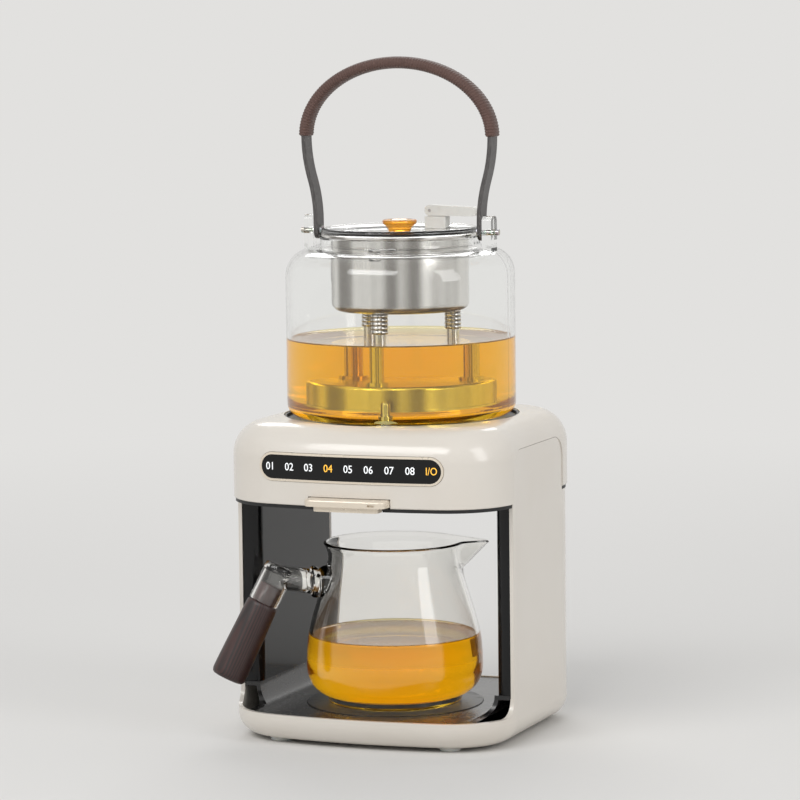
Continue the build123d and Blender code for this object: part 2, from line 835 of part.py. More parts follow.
harness_low_z = cover_top_z + running + harness_radius + 0.5
harness_high_z = supply_z + board_thickness + harness_radius + running
with BuildPart() as wiring_harness:
    with BuildLine():
        harness_start_x, harness_end_x = -warm_heater_radius / 4, supply_x - supply_length / 2 + boss_radius
        FilletPolyline((harness_start_x, harness_y, harness_low_z), (harness_x, harness_y, harness_low_z),
                       (harness_x, harness_y, harness_high_z), (harness_end_x, harness_y, harness_high_z),
                       radius=harness_bend)
    with BuildSketch(Plane((harness_start_x, harness_y, harness_low_z), z_dir=(-1, 0, 0))):
        Circle(harness_radius)
    sweep()
write(wiring_harness.part, "wiring_harness")


# Tea release: the tab slides inwards, its ramp lifts the lifter, and that lifts the kettle's valve.
ramp_foot_z = tab_z + tab_thickness - slip - running
with BuildPart() as release_tab:
    with BuildSketch(Plane.XY.offset(tab_z)) as tab_plan:
        with Locations((0, tab_rear_y - tab_depth / 2)):
            Rectangle(tab_width, tab_depth)
        fillet(tab_plan.vertices().group_by(Axis.Y)[0], tab_corner)
    extrude(amount=tab_thickness)
    fillet(release_tab.edges().group_by(Axis.Z)[-1].group_by(Axis.Y)[0], tab_edge_round)
    with BuildSketch(Plane.XY.offset(tab_z - tab_step_drop)) as step_plan:
        with Locations((0, tab_step_setback - tab_reach - front_reach + tab_step_depth / 2)):
            Rectangle(tab_step_width, tab_step_depth)
        fillet(step_plan.vertices().group_by(Axis.Y)[0], tab_step_corner)
    extrude(amount=tab_step_drop)
    with BuildSketch(Plane.XZ.offset(front_reach + tab_reach - tab_slot_depth)):
        with Locations((tab_slot_x, tab_z + tab_slot_rise)):
            Rectangle(tab_slot_length, tab_slot_height)
    extrude(amount=2 * tab_slot_depth, mode=Mode.SUBTRACT)
    with BuildSketch(Plane.YZ.offset(valve_x)):
        with BuildLine():
            ramp_y, ramp_top = valve_y + ramp_lead, ramp_foot_z + tab_travel + ramp_margin
            crest_y, arm_y = ramp_y - ramp_top + ramp_foot_z, tab_arm_root - front_reach
            Polyline((arm_y, tab_z), (ramp_y, tab_z), (ramp_y, ramp_foot_z), (crest_y, ramp_top),
                     (crest_y - ramp_land, ramp_top), (crest_y - ramp_heel, ramp_foot_z),
                     (arm_y, ramp_foot_z), close=True)
        make_face()
    extrude(amount=tab_arm_width / 2, both=True)
write(release_tab.part, "release_tab")

cup_z = seat_under_z - cup_depth
lifter_top_z = seat_z - running
collar_z = ramp_foot_z + tab_travel + collar_rise
with BuildPart() as drain_cup:
    with BuildSketch(Plane.XY.offset(cup_z)):
        with Locations(((valve_x + drain_x) / 2, (valve_y + drain_y) / 2)):
            SlotCenterToCenter(drain_run, 2 * (cup_radius + cup_wall), rotation=drain_turn)
    extrude(amount=cup_depth - running)
    with BuildSketch(Plane.XY.offset(cup_z + cup_wall)):
        with Locations(((valve_x + drain_x) / 2, (valve_y + drain_y) / 2)):
            SlotCenterToCenter(drain_run, 2 * cup_radius, rotation=drain_turn)
    extrude(amount=cup_depth, mode=Mode.SUBTRACT)
    with BuildSketch(Plane.XY.offset(head_floor_z - 2)):
        with Locations((drain_x, drain_y)):
            Circle(drain_radius + drain_wall)
    extrude(amount=cup_z - head_floor_z + 2)
    with BuildSketch(Plane.XY.offset(head_floor_z - 2)):
        with Locations((drain_x, drain_y)):
            Circle(drain_radius)
        with Locations((valve_x, valve_y)):
            Circle(lifter_radius + running)
    extrude(amount=head_height, mode=Mode.SUBTRACT)
write(drain_cup.part, "drain_cup")

with BuildPart() as valve_lifter:
    with BuildSketch(Plane.XY.offset(ramp_foot_z - lifter_radius)):
        with Locations((valve_x, valve_y)):
            Circle(lifter_foot_radius)
    extrude(amount=collar_z - ramp_foot_z + lifter_radius)
    with BuildSketch(Plane.YZ.offset(valve_x)):
        with BuildLine():
            level = ramp_foot_z + running + ramp_lead
            Polyline((valve_y - lifter_foot_cut, level + lifter_foot_cut),
                     (valve_y + lifter_foot_cut, level - lifter_foot_cut),
                     (valve_y - lifter_foot_cut, level - lifter_foot_cut), close=True)
        make_face()
    extrude(amount=2 * lifter_foot_radius, both=True, mode=Mode.SUBTRACT)
    with BuildSketch(Plane.XY.offset(collar_z)):
        with Locations((valve_x, valve_y)):
            Circle(lifter_collar)
    extrude(amount=collar_thickness)
    with BuildSketch(Plane.XY.offset(collar_z + collar_thickness)):
        with Locations((valve_x, valve_y)):
            Circle(lifter_radius)
    extrude(amount=lifter_top_z - collar_z - collar_thickness)
write(valve_lifter.part, "valve_lifter")

spring_z = collar_z + collar_thickness + spring_wire / 2
spring_height = cup_z - spring_wire / 2 - spring_z
with BuildPart() as lifter_spring:
    with BuildLine():
        coil = Helix(pitch=spring_height / spring_turns, height=spring_height,
                     radius=lifter_collar - spring_wire, center=(valve_x, valve_y, spring_z))
    with BuildSketch(Plane(coil @ 0, z_dir=coil % 0)):
        Circle(spring_wire / 2)
    sweep(is_frenet=True)
write(lifter_spring.part, "lifter_spring")

# Kettle: one glass wall of even thickness, the lugs on its shoulder, the drain valve and the bail's pins.
shoulder_x = kettle_radius - shoulder_radius
neck_root_x = neck_radius + neck_root
with BuildPart() as kettle_glass:
    with BuildSketch(Plane.XZ):
        with BuildLine():
            heel_x, heel_z = kettle_radius - kettle_heel, kettle_z + kettle_heel
            Line((0, kettle_z), (heel_x, kettle_z))
            CenterArc((heel_x, heel_z), kettle_heel, -90, 90)
            Line((kettle_radius, heel_z), (kettle_radius, shoulder_z))
            CenterArc((shoulder_x, shoulder_z), shoulder_radius, 0, 90)
            Line((shoulder_x, shoulder_top_z), (neck_root_x, shoulder_top_z))
            CenterArc((neck_root_x, shoulder_top_z + neck_root), neck_root, 180, 90)
            Line((neck_radius, shoulder_top_z + neck_root), (neck_radius, neck_top_z - kettle_wall / 2))
            CenterArc((neck_radius - kettle_wall / 2, neck_top_z - kettle_wall / 2), kettle_wall / 2, 0, 180)
            Line((neck_radius - kettle_wall, neck_top_z - kettle_wall / 2),
                 (neck_radius - kettle_wall, shoulder_top_z + neck_root))
            CenterArc((neck_root_x, shoulder_top_z + neck_root), neck_root + kettle_wall, 180, 90)
            Line((neck_root_x, shoulder_top_z - kettle_wall), (shoulder_x, shoulder_top_z - kettle_wall))
            CenterArc((shoulder_x, shoulder_z), shoulder_radius - kettle_wall, 0, 90)
            Line((kettle_radius - kettle_wall, shoulder_z), (kettle_radius - kettle_wall, heel_z))
            CenterArc((heel_x, heel_z), kettle_heel - kettle_wall, -90, 90)
            Polyline((heel_x, kettle_inside_z), (0, kettle_inside_z), (0, kettle_z))
        make_face()
    revolve(axis=Axis.Z)
    with Locations((valve_x, valve_y, kettle_inside_z)):
        Hole(poppet_radius + valve_neck, depth=2 * kettle_wall)
write(kettle_glass.part, "kettle_glass")

# The lugs stand on the shoulder and follow its curve.
with BuildPart() as kettle_lugs:
    with BuildSketch(Plane.YZ.offset(lug_x - lug_thickness / 2)) as lug_view:
        with Locations((0, (shoulder_z + shoulder_top_z + lug_height) / 2)):
            Rectangle(lug_width, shoulder_radius + lug_height)
        fillet(lug_view.vertices().group_by(Axis.Y)[-1], lug_width / 3)
    lug = extrude(amount=lug_thickness)
    mirror(lug, about=Plane.YZ)
    with BuildSketch(Plane.XZ):
        with BuildLine():
            seat_arc = CenterArc((shoulder_x, shoulder_z), shoulder_radius + running, 0, 90)
            Polyline(seat_arc @ 1, (0, shoulder_top_z + running), (0, shoulder_z), seat_arc @ 0)
        make_face()
    revolve(axis=Axis.Z, mode=Mode.SUBTRACT)
    with Locations(Plane((0, 0, pin_z), z_dir=(1, 0, 0))):
        Hole(pin_radius + running)
write(kettle_lugs.part, "kettle_lugs")

with BuildPart() as valve_seat:
    with BuildSketch(Plane.XZ.offset(-valve_y)):
        with BuildLine():
            bore_x = valve_x + poppet_stem_radius + 2 * slip
            neck_x = valve_x + poppet_radius + valve_neck - running
            Polyline((bore_x, kettle_z - valve_lip), (neck_x + valve_lip, kettle_z - valve_lip),
                     (neck_x + valve_lip, kettle_z - running), (neck_x, kettle_z - running),
                     (neck_x, kettle_inside_z + running), (neck_x + valve_flange, kettle_inside_z + running),
                     (neck_x + valve_flange, kettle_inside_z + valve_flange),
                     (bore_x, kettle_inside_z + valve_flange), close=True)
        make_face()
    revolve(axis=Axis((valve_x, valve_y, 0), (0, 0, 1)))
write(valve_seat.part, "valve_seat")

poppet_z = kettle_inside_z + valve_flange + running
with BuildPart() as valve_poppet:
    with BuildSketch(Plane.XY.offset(seat_z + poppet_gap)):
        with Locations((valve_x, valve_y)):
            Circle(poppet_stem_radius)
    extrude(amount=poppet_z - seat_z - poppet_gap)
    with BuildSketch(Plane.XY.offset(poppet_z)):
        with Locations((valve_x, valve_y)):
            Circle(poppet_radius + poppet_lip)
    extrude(amount=poppet_lip)
    with BuildSketch(Plane.XY.offset(poppet_z + poppet_lip)):
        with Locations((valve_x, valve_y)):
            Circle(poppet_radius)
    extrude(amount=poppet_height - poppet_lip)
    fillet(valve_poppet.edges().group_by(Axis.Z)[-1], 0.8 * poppet_radius)
write(valve_poppet.part, "valve_poppet")

strap_inner_x = bail_foot_x - strap_thickness / 2
with BuildPart() as bail_pins:
    with BuildSketch(Plane.YZ.offset(strap_inner_x - running)):
        with Locations((0, pin_z)):
            Circle(pin_radius)
    shank = extrude(amount=lug_x + lug_thickness / 2 + pin_overhang - strap_inner_x)
    with BuildSketch(Plane.YZ.offset(strap_inner_x - running - pin_head)):
        with Locations((0, pin_z)):
            Circle(pin_radius + pin_head)
    rivet = extrude(amount=pin_head)
    mirror(shank, about=Plane.YZ)
    mirror(rivet, about=Plane.YZ)
write(bail_pins.part, "bail_pins")

# Bail: a flat strap bent to an S at each foot and to an elliptical arch over the lid.
foot_end_z, knee_z, arch_z = pin_z - strap_width / 2, pin_z + bail_knee_rise, pin_z + bail_leg_rise
sway, climb = bail_half_span - bail_foot_x, arch_z - knee_z
sway_radius = (sway**2 + climb**2) / (4 * sway)
sway_angle = math.degrees(math.asin(climb / 2 / sway_radius))


def arch_band(thickness, width, feet):
    """Half-ellipse band of the bail, with or without its S-shaped feet, as a solid."""
    half = thickness / 2
    with BuildPart() as band:
        with BuildSketch(Plane.XZ):
            with BuildLine():
                for shift in (-half, half):
                    EllipticalCenterArc((0, arch_z), bail_half_span + shift, bail_arch_rise + shift,
                                        start_angle=0, arc_size=90)
                    if feet:
                        start = (bail_foot_x + shift, knee_z)
                        Line((bail_foot_x + shift, foot_end_z), start)
                        out = JernArc(start, (0, 1), sway_radius - shift, -sway_angle)
                        JernArc(out @ 1, out % 1, sway_radius + shift, sway_angle)
                end_x, end_z = (bail_foot_x, foot_end_z) if feet else (bail_half_span, arch_z)
                Line((end_x - half, end_z), (end_x + half, end_z))
                Line((0, arch_z + bail_arch_rise - half), (0, arch_z + bail_arch_rise + half))
            make_face()
            mirror(about=Plane.YZ)
        extrude(amount=width / 2, both=True)
    return band.part


with BuildPart() as bail_strap:
    add(arch_band(strap_thickness, strap_width, True))
    fillet(bail_strap.edges().filter_by(Axis.X).group_by(Axis.Z)[0], strap_width / 2 - running)
    with Locations(Plane((0, 0, pin_z), z_dir=(1, 0, 0))):
        Hole(pin_radius + running)
write(bail_strap.part, "bail_strap")

with BuildPart() as bail_grip:
    add(arch_band(grip_thickness, grip_width, False))
    long_edges = bail_grip.edges().filter_by(GeomType.ELLIPSE) + bail_grip.edges().filter_by(GeomType.BSPLINE)
    fillet(long_edges, grip_thickness * 0.45)
    add(arch_band(strap_thickness, strap_width, True), mode=Mode.SUBTRACT)
write(bail_grip.part, "bail_grip")

# Infuser: the basket hangs from the neck and carries, by three risers, the hood over the hot spot.
riser_places = [(riser_circle * math.cos(math.radians(a)), riser_circle * math.sin(math.radians(a)))
                for a in riser_angles]
riser_top_z = flange_z - riser_top_drop
with BuildPart() as basket:
    with BuildSketch(Plane.XZ):
        with BuildLine():
            curve_x, curve_z = basket_radius - basket_round, basket_z + basket_round
            flange_x, flange_top_z = basket_radius + basket_flange, flange_z + flange_thickness
            inside_x = basket_radius - basket_wall
            Line((0, basket_z), (curve_x, basket_z))
            CenterArc((curve_x, curve_z), basket_round, -90, 90)
            Polyline((basket_radius, curve_z), (basket_radius, flange_z), (flange_x, flange_z),
                     (flange_x, flange_top_z), (inside_x, flange_top_z), (inside_x, curve_z))
            CenterArc((curve_x, curve_z), basket_round - basket_wall, -90, 90)
            Polyline((curve_x, basket_z + basket_wall), (0, basket_z + basket_wall), (0, basket_z))
        make_face()
    revolve(axis=Axis.Z)
    with BuildSketch(Plane.XY.offset(basket_z)):
        with Locations(*riser_places):
            Circle(riser_radius + running)
        with PolarLocations(10, 6):
            Circle(drain_hole_radius)
        with PolarLocations(20, 12, start_angle=15):
            Circle(drain_hole_radius)
        Circle(drain_hole_radius)
    extrude(amount=basket_wall, mode=Mode.SUBTRACT)
    with BuildSketch(Plane.XZ.offset(basket_radius - 2)):
        with Locations((0, flange_z - basket_window_drop)):
            RectangleRounded(basket_window_width, basket_window_height, 1)
    extrude(amount=4, mode=Mode.SUBTRACT)
write(basket.part, "basket")

with BuildPart() as hood:
    with BuildSketch(Plane.XY.offset(hood_z)):
        Circle(hood_radius + hood_rim)
    extrude(amount=hood_wall)
    with BuildSketch(Plane.XY.offset(hood_z)):
        Circle(hood_radius)
    extrude(amount=hood_height)
    fillet(hood.edges().group_by(Axis.Z)[-1], 2)
    with BuildSketch(Plane.XY.offset(hood_z)):
        Circle(hood_radius - hood_wall)
    extrude(amount=hood_height - hood_wall, mode=Mode.SUBTRACT)
    with BuildSketch(Plane.XY.offset(hood_top_z)):
        with Locations(*riser_places):
            Circle(riser_radius + hood_collar)
    extrude(amount=hood_collar)
    with BuildSketch(Plane.XY.offset(hood_top_z - hood_wall)):
        with Locations(*riser_places):
            Circle(riser_radius + running)
    extrude(amount=hood_height, mode=Mode.SUBTRACT)
write(hood.part, "hood")

with BuildPart() as riser_tubes:
    with BuildSketch(Plane.XY.offset(hood_top_z - hood_wall)):
        with Locations(*riser_places):
            Circle(riser_radius)
            Circle(riser_radius - riser_wall, mode=Mode.SUBTRACT)
    extrude(amount=riser_top_z - hood_top_z + hood_wall)
write(riser_tubes.part, "riser_tubes")

# Ringed ferrules clamp the basket floor to the risers from below.
ring_pitch = ferrule_height / ferrule_rings
with BuildPart() as riser_ferrules:
    with BuildSketch(Plane.XZ.offset(-riser_places[0][1])):
        with BuildLine():
            axis_x = riser_places[0][0]
            bore_x, root_x = axis_x + riser_radius + running, axis_x + ferrule_radius - ring_pitch / 4
            ferrule_z = basket_z - ferrule_height
            Polyline((root_x, ferrule_z), (bore_x, ferrule_z), (bore_x, basket_z), (root_x, basket_z))
            for ring in range(ferrule_rings):
                ring_z = ferrule_z + ring * ring_pitch
                ThreePointArc((root_x, ring_z), (axis_x + ferrule_radius, ring_z + ring_pitch / 2),
                              (root_x, ring_z + ring_pitch))
        make_face()
    revolve(axis=Axis((*riser_places[0], 0), (0, 0, 1)))
    first_ferrule = riser_ferrules.part
with BuildPart() as all_ferrules:
    for turn in riser_angles:
        add(first_ferrule.rotate(Axis.Z, turn - riser_angles[0]))
write(all_ferrules.part, "riser_ferrules")

cap_z = riser_top_z - cap_grip
with BuildPart() as spray_caps:
    with BuildSketch(Plane.XY.offset(cap_z)):
        with Locations(*riser_places):
            Circle(cap_radius)
    extrude(amount=cap_height)
    fillet(spray_caps.edges().group_by(Axis.Z)[-1], 1)
    with BuildSketch(Plane.XY.offset(cap_z)):
        with Locations(*riser_places):
            Circle(riser_radius + running)
    extrude(amount=cap_height - cap_crown, mode=Mode.SUBTRACT)
    with BuildSketch(Plane.XY.offset(riser_top_z + slip)):
        with Locations(*riser_places):
            Rectangle(3 * cap_radius, cap_slot)
            Rectangle(cap_slot, 3 * cap_radius)
    extrude(amount=cap_slot, mode=Mode.SUBTRACT)
write(spray_caps.part, "spray_caps")

# Lid: a dished glass disc with a rolled rim; its seat sits on the basket's flange.
with BuildPart() as lid_glass:
    with BuildSketch(Plane.XZ):
        with BuildLine():
            bead_x, bead_z = lid_radius - lid_bead, lid_z + lid_bead
            Polyline((0, lid_top_z), (0, lid_z - lid_sag), (lid_dish_radius, lid_z - lid_sag),
                     (lid_seat_radius, lid_z), (bead_x, lid_z))
            bead = CenterArc((bead_x, bead_z), lid_bead, -90, 235)
            Polyline(bead @ 1, (lid_seat_radius + 1.5, lid_top_z + 1), (lid_dish_radius, lid_top_z),
                     (0, lid_top_z))
        make_face()
    revolve(axis=Axis.Z)
    with Locations((port_x + 1, port_y, lid_top_z + 1)):
        Hole(plug_radius + slip, depth=2 * lid_glass_thickness)
write(lid_glass.part, "lid_glass")

with BuildPart() as lid_knob:
    with BuildSketch(Plane.XZ):
        with BuildLine():
            crown_z = lid_top_z + knob_height
            Polyline((0, crown_z), (0, lid_top_z), (knob_foot_radius, lid_top_z))
            flare = Line((knob_foot_radius, lid_top_z), (knob_radius, crown_z - knob_round))
            CenterArc((knob_radius - knob_round, crown_z - knob_round), knob_round, 0, 90)
            Line((knob_radius - knob_round, crown_z), (0, crown_z))
        make_face()
    revolve(axis=Axis.Z)
write(lid_knob.part, "lid_knob")

hinge_x = port_x - port_length / 2 + lever_hinge_inset
port_top_z = lid_top_z + port_height
hinge_z = port_top_z + lever_thickness / 2 + fit
with BuildPart() as fill_port:
    with BuildSketch(Plane.XY.offset(lid_top_z)) as port_plan:
        with Locations((port_x, port_y)):
            RectangleRounded(port_length, port_width, 1)
    extrude(amount=port_height)
    with BuildSketch(Plane.XZ.offset(-port_y)):
        with Locations((hinge_x, (hinge_z + port_top_z) / 2)):
            Rectangle(2 * tongue_radius, hinge_z - port_top_z)
        with Locations((hinge_x, hinge_z)):
            Circle(tongue_radius)
            Circle(lever_pin_radius + running, mode=Mode.SUBTRACT)
    extrude(amount=tongue_width / 2, both=True)
    with BuildSketch(Plane.XY.offset(lid_top_z - plug_depth)):
        with Locations((port_x + 1, port_y)):
            Circle(plug_radius)
    extrude(amount=plug_depth)
    with BuildSketch(Plane.XY.offset(lid_top_z - plug_depth)):
        with Locations((port_x + 1, port_y)):
            Circle(port_bore)
    extrude(amount=plug_depth + port_height, mode=Mode.SUBTRACT)
    add(lid_glass.part.moved(Location((0, 0, running))), mode=Mode.SUBTRACT)
write(fill_port.part, "fill_port")

with BuildPart() as flip_lever:
    with BuildSketch(Plane.XZ.offset(-port_y)):
        with Locations((hinge_x, hinge_z)):
            Circle(lever_thickness / 2)
        with Locations((hinge_x + lever_length, hinge_z - lever_tip_drop)):
            Circle(lever_tip_thickness / 2)
        make_hull()
        with Locations((hinge_x, hinge_z)):
            Circle(lever_pin_radius + running, mode=Mode.SUBTRACT)
    extrude(amount=port_width / 2, both=True)
    slot_end_x = hinge_x + tongue_radius + 2.3
    with BuildSketch(Plane.XZ.offset(-port_y)):
        with Locations((slot_end_x - lever_thickness, hinge_z + tongue_radius + fit - lever_thickness)):
            Rectangle(2 * lever_thickness, 2 * lever_thickness)
    extrude(amount=tongue_width / 2 + slip, both=True, mode=Mode.SUBTRACT)
write(flip_lever.part, "flip_lever")

with BuildPart() as lever_pin:
    with BuildSketch(Plane.XZ.offset(-port_y)):
        with Locations((hinge_x, hinge_z)):
            Circle(lever_pin_radius)
    extrude(amount=port_width / 2 - slip, both=True)
write(lever_pin.part, "lever_pin")

# Jug: glass body on a foot ring, a folded spout, and a hollow arm with a socket for the grip.
jug_points = [(jug_foot_radius, jug_foot_height), (jug_heel_radius, jug_heel_height),
              (jug_belly_radius, jug_belly_height), (jug_flank_radius, jug_flank_height),
              (jug_shoulder_radius, jug_shoulder_height), (jug_waist_radius, jug_waist_height),
              (jug_mouth_radius, jug_height)]
jug_frame = Plane((0, jug_y, jug_z))
with BuildPart() as jug_form:
    with BuildSketch(Plane.XZ):
        with BuildLine():
            side = Spline(*jug_points)
            Polyline((jug_mouth_radius, jug_height), (0, jug_height), (0, jug_underside),
                     (jug_foot_radius - jug_foot_width - 1, jug_underside),
                     (jug_foot_radius - jug_foot_width, 0),
                     (jug_foot_radius, 0), (jug_foot_radius, jug_foot_height))
        make_face()
    revolve(axis=Axis.Z)

inner_points = []
for share in (0.0, 0.08, 0.17, 0.3, 0.45, 0.6, 0.75, 0.9, 1.0):
    at, along = side @ share, side % share
    inner_points.append((at.X - jug_wall * along.Y, at.Y + jug_wall * along.X))
with BuildPart() as jug_inside:
    with BuildSketch(Plane.XZ):
        with BuildLine():
            inside_curve = Spline(*inner_points)
            Polyline(inner_points[0], (0, inner_points[0][1]), (0, 2 * jug_height),
                     (inner_points[-1][0], 2 * jug_height), inner_points[-1])
        make_face()
    revolve(axis=Axis.Z)


def spout_form(inset, top_z):
    """The folded spout as a loft between two rounded triangles, shrunk by the inset."""
    root_x, low_z = jug_waist_radius / 2, jug_height - spout_drop + inset
    with BuildPart() as spout:
        for level, tip, spread in ((low_z, jug_waist_radius, spout_root_half_width),
                                   (top_z, spout_reach, spout_half_width)):
            with BuildSketch(Plane.XY.offset(level)) as section:
                Polygon((root_x, -spread * 1.6 + inset), (root_x, spread * 1.6 - inset),
                        (tip + 2 - 2 * inset, 0), align=None)
                fillet(section.vertices().group_by(Axis.X)[-1], spout_tip_round - inset / 2)
        loft(ruled=True)
    return spout.part


lean = math.radians(grip_lean)
socket_start = (elbow_reach - socket_above * math.sin(lean), 0, arm_height + socket_above * math.cos(lean))
socket_plane = Plane(socket_start, z_dir=(math.sin(lean), 0, -math.cos(lean)))
with BuildPart() as jug_arm:
    with BuildSketch(Plane.YZ):
        with Locations((0, arm_height)):
            Circle(arm_radius)
    extrude(amount=elbow_reach)
    with BuildSketch(socket_plane):
        Circle(socket_radius)
    extrude(amount=socket_above + socket_length)
    fillet(jug_arm.edges().group_by(Axis.Z)[-1], socket_round)

with BuildPart() as arm_bore:
    with BuildSketch(Plane.YZ):
        with Locations((0, arm_height)):
            Circle(arm_radius - arm_wall)
    extrude(amount=elbow_reach)
    with BuildSketch(socket_plane.offset(arm_wall + 1)):
        Circle(socket_radius - arm_wall)
    extrude(amount=socket_above + socket_length)
    add(jug_form.part, mode=Mode.SUBTRACT)

spout_bearing = handle_bearing - 180
with BuildPart() as jug_glass:
    add(jug_form.part)
    add(spout_form(0, jug_height).rotate(Axis.Z, spout_bearing))
    add(jug_arm.part.rotate(Axis.Z, handle_bearing))
    add(arm_bore.part.rotate(Axis.Z, handle_bearing), mode=Mode.SUBTRACT)
    add(jug_inside.part, mode=Mode.SUBTRACT)
    add(spout_form(jug_wall, jug_height + jug_wall).rotate(Axis.Z, spout_bearing), mode=Mode.SUBTRACT)
    fillet(jug_glass.edges().group_by(Axis.Z)[-1], jug_rim_round)
write(jug_glass.part.moved(jug_frame.location), "jug_glass")

spigot_radius = socket_radius - arm_wall - slip
with BuildPart() as jug_handle:
    with BuildSketch(socket_plane.offset(socket_above + socket_length - spigot_length)):
        Circle(spigot_radius)
    extrude(amount=spigot_length + running)
    with BuildSketch(socket_plane.offset(socket_above + socket_length + running)):
        Circle(wood_top_radius)
    with BuildSketch(socket_plane.offset(socket_above + socket_length + wood_length)):
        Circle(wood_end_radius)
    loft()
    fillet(jug_handle.edges().filter_by(GeomType.CIRCLE).sort_by(Axis.Z)[0], 2)
write(jug_handle.part.rotate(Axis.Z, handle_bearing).moved(jug_frame.location), "jug_handle")
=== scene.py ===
# Automatic tea maker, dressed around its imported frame. Metres, +Z up, the front faces -Y.
import math

import bmesh
import bpy
from mathutils import Matrix, Vector


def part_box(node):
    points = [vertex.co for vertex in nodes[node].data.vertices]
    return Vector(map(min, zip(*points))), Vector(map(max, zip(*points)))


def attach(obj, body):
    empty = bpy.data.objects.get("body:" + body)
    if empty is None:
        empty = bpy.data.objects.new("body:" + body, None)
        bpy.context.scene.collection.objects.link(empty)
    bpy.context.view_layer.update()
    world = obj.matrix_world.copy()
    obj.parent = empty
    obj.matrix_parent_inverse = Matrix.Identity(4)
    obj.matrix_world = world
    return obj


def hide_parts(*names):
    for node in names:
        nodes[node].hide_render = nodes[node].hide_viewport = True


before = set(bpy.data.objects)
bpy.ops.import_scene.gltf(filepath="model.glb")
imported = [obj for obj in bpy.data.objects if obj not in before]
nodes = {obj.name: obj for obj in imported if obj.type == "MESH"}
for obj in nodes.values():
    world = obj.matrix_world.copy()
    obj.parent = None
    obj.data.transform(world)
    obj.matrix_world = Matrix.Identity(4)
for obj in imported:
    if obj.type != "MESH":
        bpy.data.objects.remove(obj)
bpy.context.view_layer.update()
mm = 0.001


# ---- camera ----

cameraSettings = {
    "position": (0.8427, -2.1658, 0.4476),
    "azimuth": 0.3715,
    "pitch": 0.1085,
    "roll": 0.0121,
    "lens": 178.3,
    "sensor": 36.0,
}


def addCamera(s):
    data = bpy.data.cameras.new("camera")
    data.lens = s["lens"]
    data.sensor_width = s["sensor"]
    data.clip_end = 20
    camera = bpy.data.objects.new("camera", data)
    bpy.context.scene.collection.objects.link(camera)
    a, p = s["azimuth"], s["pitch"]
    back = Vector((math.sin(a) * math.cos(p), -math.cos(a) * math.cos(p), math.sin(p)))
    right = Vector((math.cos(a), math.sin(a), 0))
    up = back.cross(right)
    turn = Matrix.Rotation(-s["roll"], 3, back)
    right, up = turn @ right, turn @ up
    axes = Matrix((right, up, back)).transposed().to_4x4()
    camera.matrix_world = Matrix.Translation(s["position"]) @ axes
    bpy.context.scene.camera = camera


addCamera(cameraSettings)
print("camera set")


# ---- shader helpers ----

def shade(red, green, blue):
    # a colour given as it looks on screen, 0 to 255, turned linear
    return tuple((c / 255 / 12.92) if c < 10.3 else ((c / 255 + 0.055) / 1.055) ** 2.4
                 for c in (red, green, blue)) + (1,)


class Wire:
    # one output socket, which can stand in a sum with numbers and other wires
    def __init__(self, finish, socket):
        self.finish = finish
        self.socket = socket

    def sum(self, operation, first, second):
        return self.finish.add("Math", {"operation": operation}, {0: first, 1: second})

    def __add__(self, other):
        return self.sum("ADD", self, other)

    def __radd__(self, other):
        return self.sum("ADD", other, self)

    def __sub__(self, other):
        return self.sum("SUBTRACT", self, other)

    def __rsub__(self, other):
        return self.sum("SUBTRACT", other, self)

    def __mul__(self, other):
        return self.sum("MULTIPLY", self, other)

    def __rmul__(self, other):
        return self.sum("MULTIPLY", other, self)


class Finish:
    # one material: a Principled shader and the nodes that feed it
    def __init__(self, name, **plain):
        self.material = bpy.data.materials.new(name)
        self.material.use_nodes = True
        self.tree = self.material.node_tree
        self.shader = self.tree.nodes["Principled BSDF"]
        for socket, value in plain.items():
            self.shader.inputs[socket.replace("_", " ")].default_value = value

    def add(self, kind, settings=None, sockets=None, out=0):
        node = self.tree.nodes.new("ShaderNode" + kind)
        for name, value in (settings or {}).items():
            if name == "stops":
                while len(node.color_ramp.elements) < len(value):
                    node.color_ramp.elements.new(0.5)
                for stop, (place, colour) in zip(node.color_ramp.elements, value):
                    stop.position = place
                    stop.color = colour
            else:
                setattr(node, name, value)
        for name, value in (sockets or {}).items():
            if isinstance(value, Wire):
                self.tree.links.new(value.socket, node.inputs[name])
            else:
                node.inputs[name].default_value = value
        return Wire(self, node.outputs[out])

    def place(self, stretch=(1, 1, 1)):
        # the point on the piece, in millimetres, squeezed along each axis
        raw = self.add("TexCoord", out=3)
        scale = tuple(1 / mm / part for part in stretch)
        return self.add("VectorMath", {"operation": "MULTIPLY"}, {0: raw, 1: scale})

    def noise(self, size, stretch=(1, 1, 1), detail=2.0, rough=0.5, at=None):
        point = at or self.place(stretch)
        return self.add("TexNoise", {}, {"Vector": point, "Scale": 1 / size, "Detail": detail, "Roughness": rough})

    def ramp(self, share, low, high):
        # 0 below low and 1 above high, smooth between
        return self.add("MapRange", {"interpolation_type": "SMOOTHSTEP"}, {0: share, 1: low, 2: high})

    def blend(self, share, first, second, mode="MIX"):
        return self.add("Mix", {"data_type": "RGBA", "blend_type": mode}, {0: share, 6: first, 7: second}, out=2)

    def bump(self, height, depth, strength=1.0):
        # depth is in millimetres
        normal = self.add("Bump", {}, {"Height": height, "Distance": depth * mm, "Strength": strength})
        self.feed(Normal=normal)

    def feed(self, **wires):
        for socket, wire in wires.items():
            self.tree.links.new(wire.socket, self.shader.inputs[socket.replace("_", " ")])

    def absorb(self, colour, density):
        node = self.tree.nodes.new("ShaderNodeVolumeAbsorption")
        node.inputs["Color"].default_value = colour
        node.inputs["Density"].default_value = density
        output = self.tree.nodes["Material Output"]
        self.tree.links.new(node.outputs[0], output.inputs["Volume"])


# ---- finishes ----

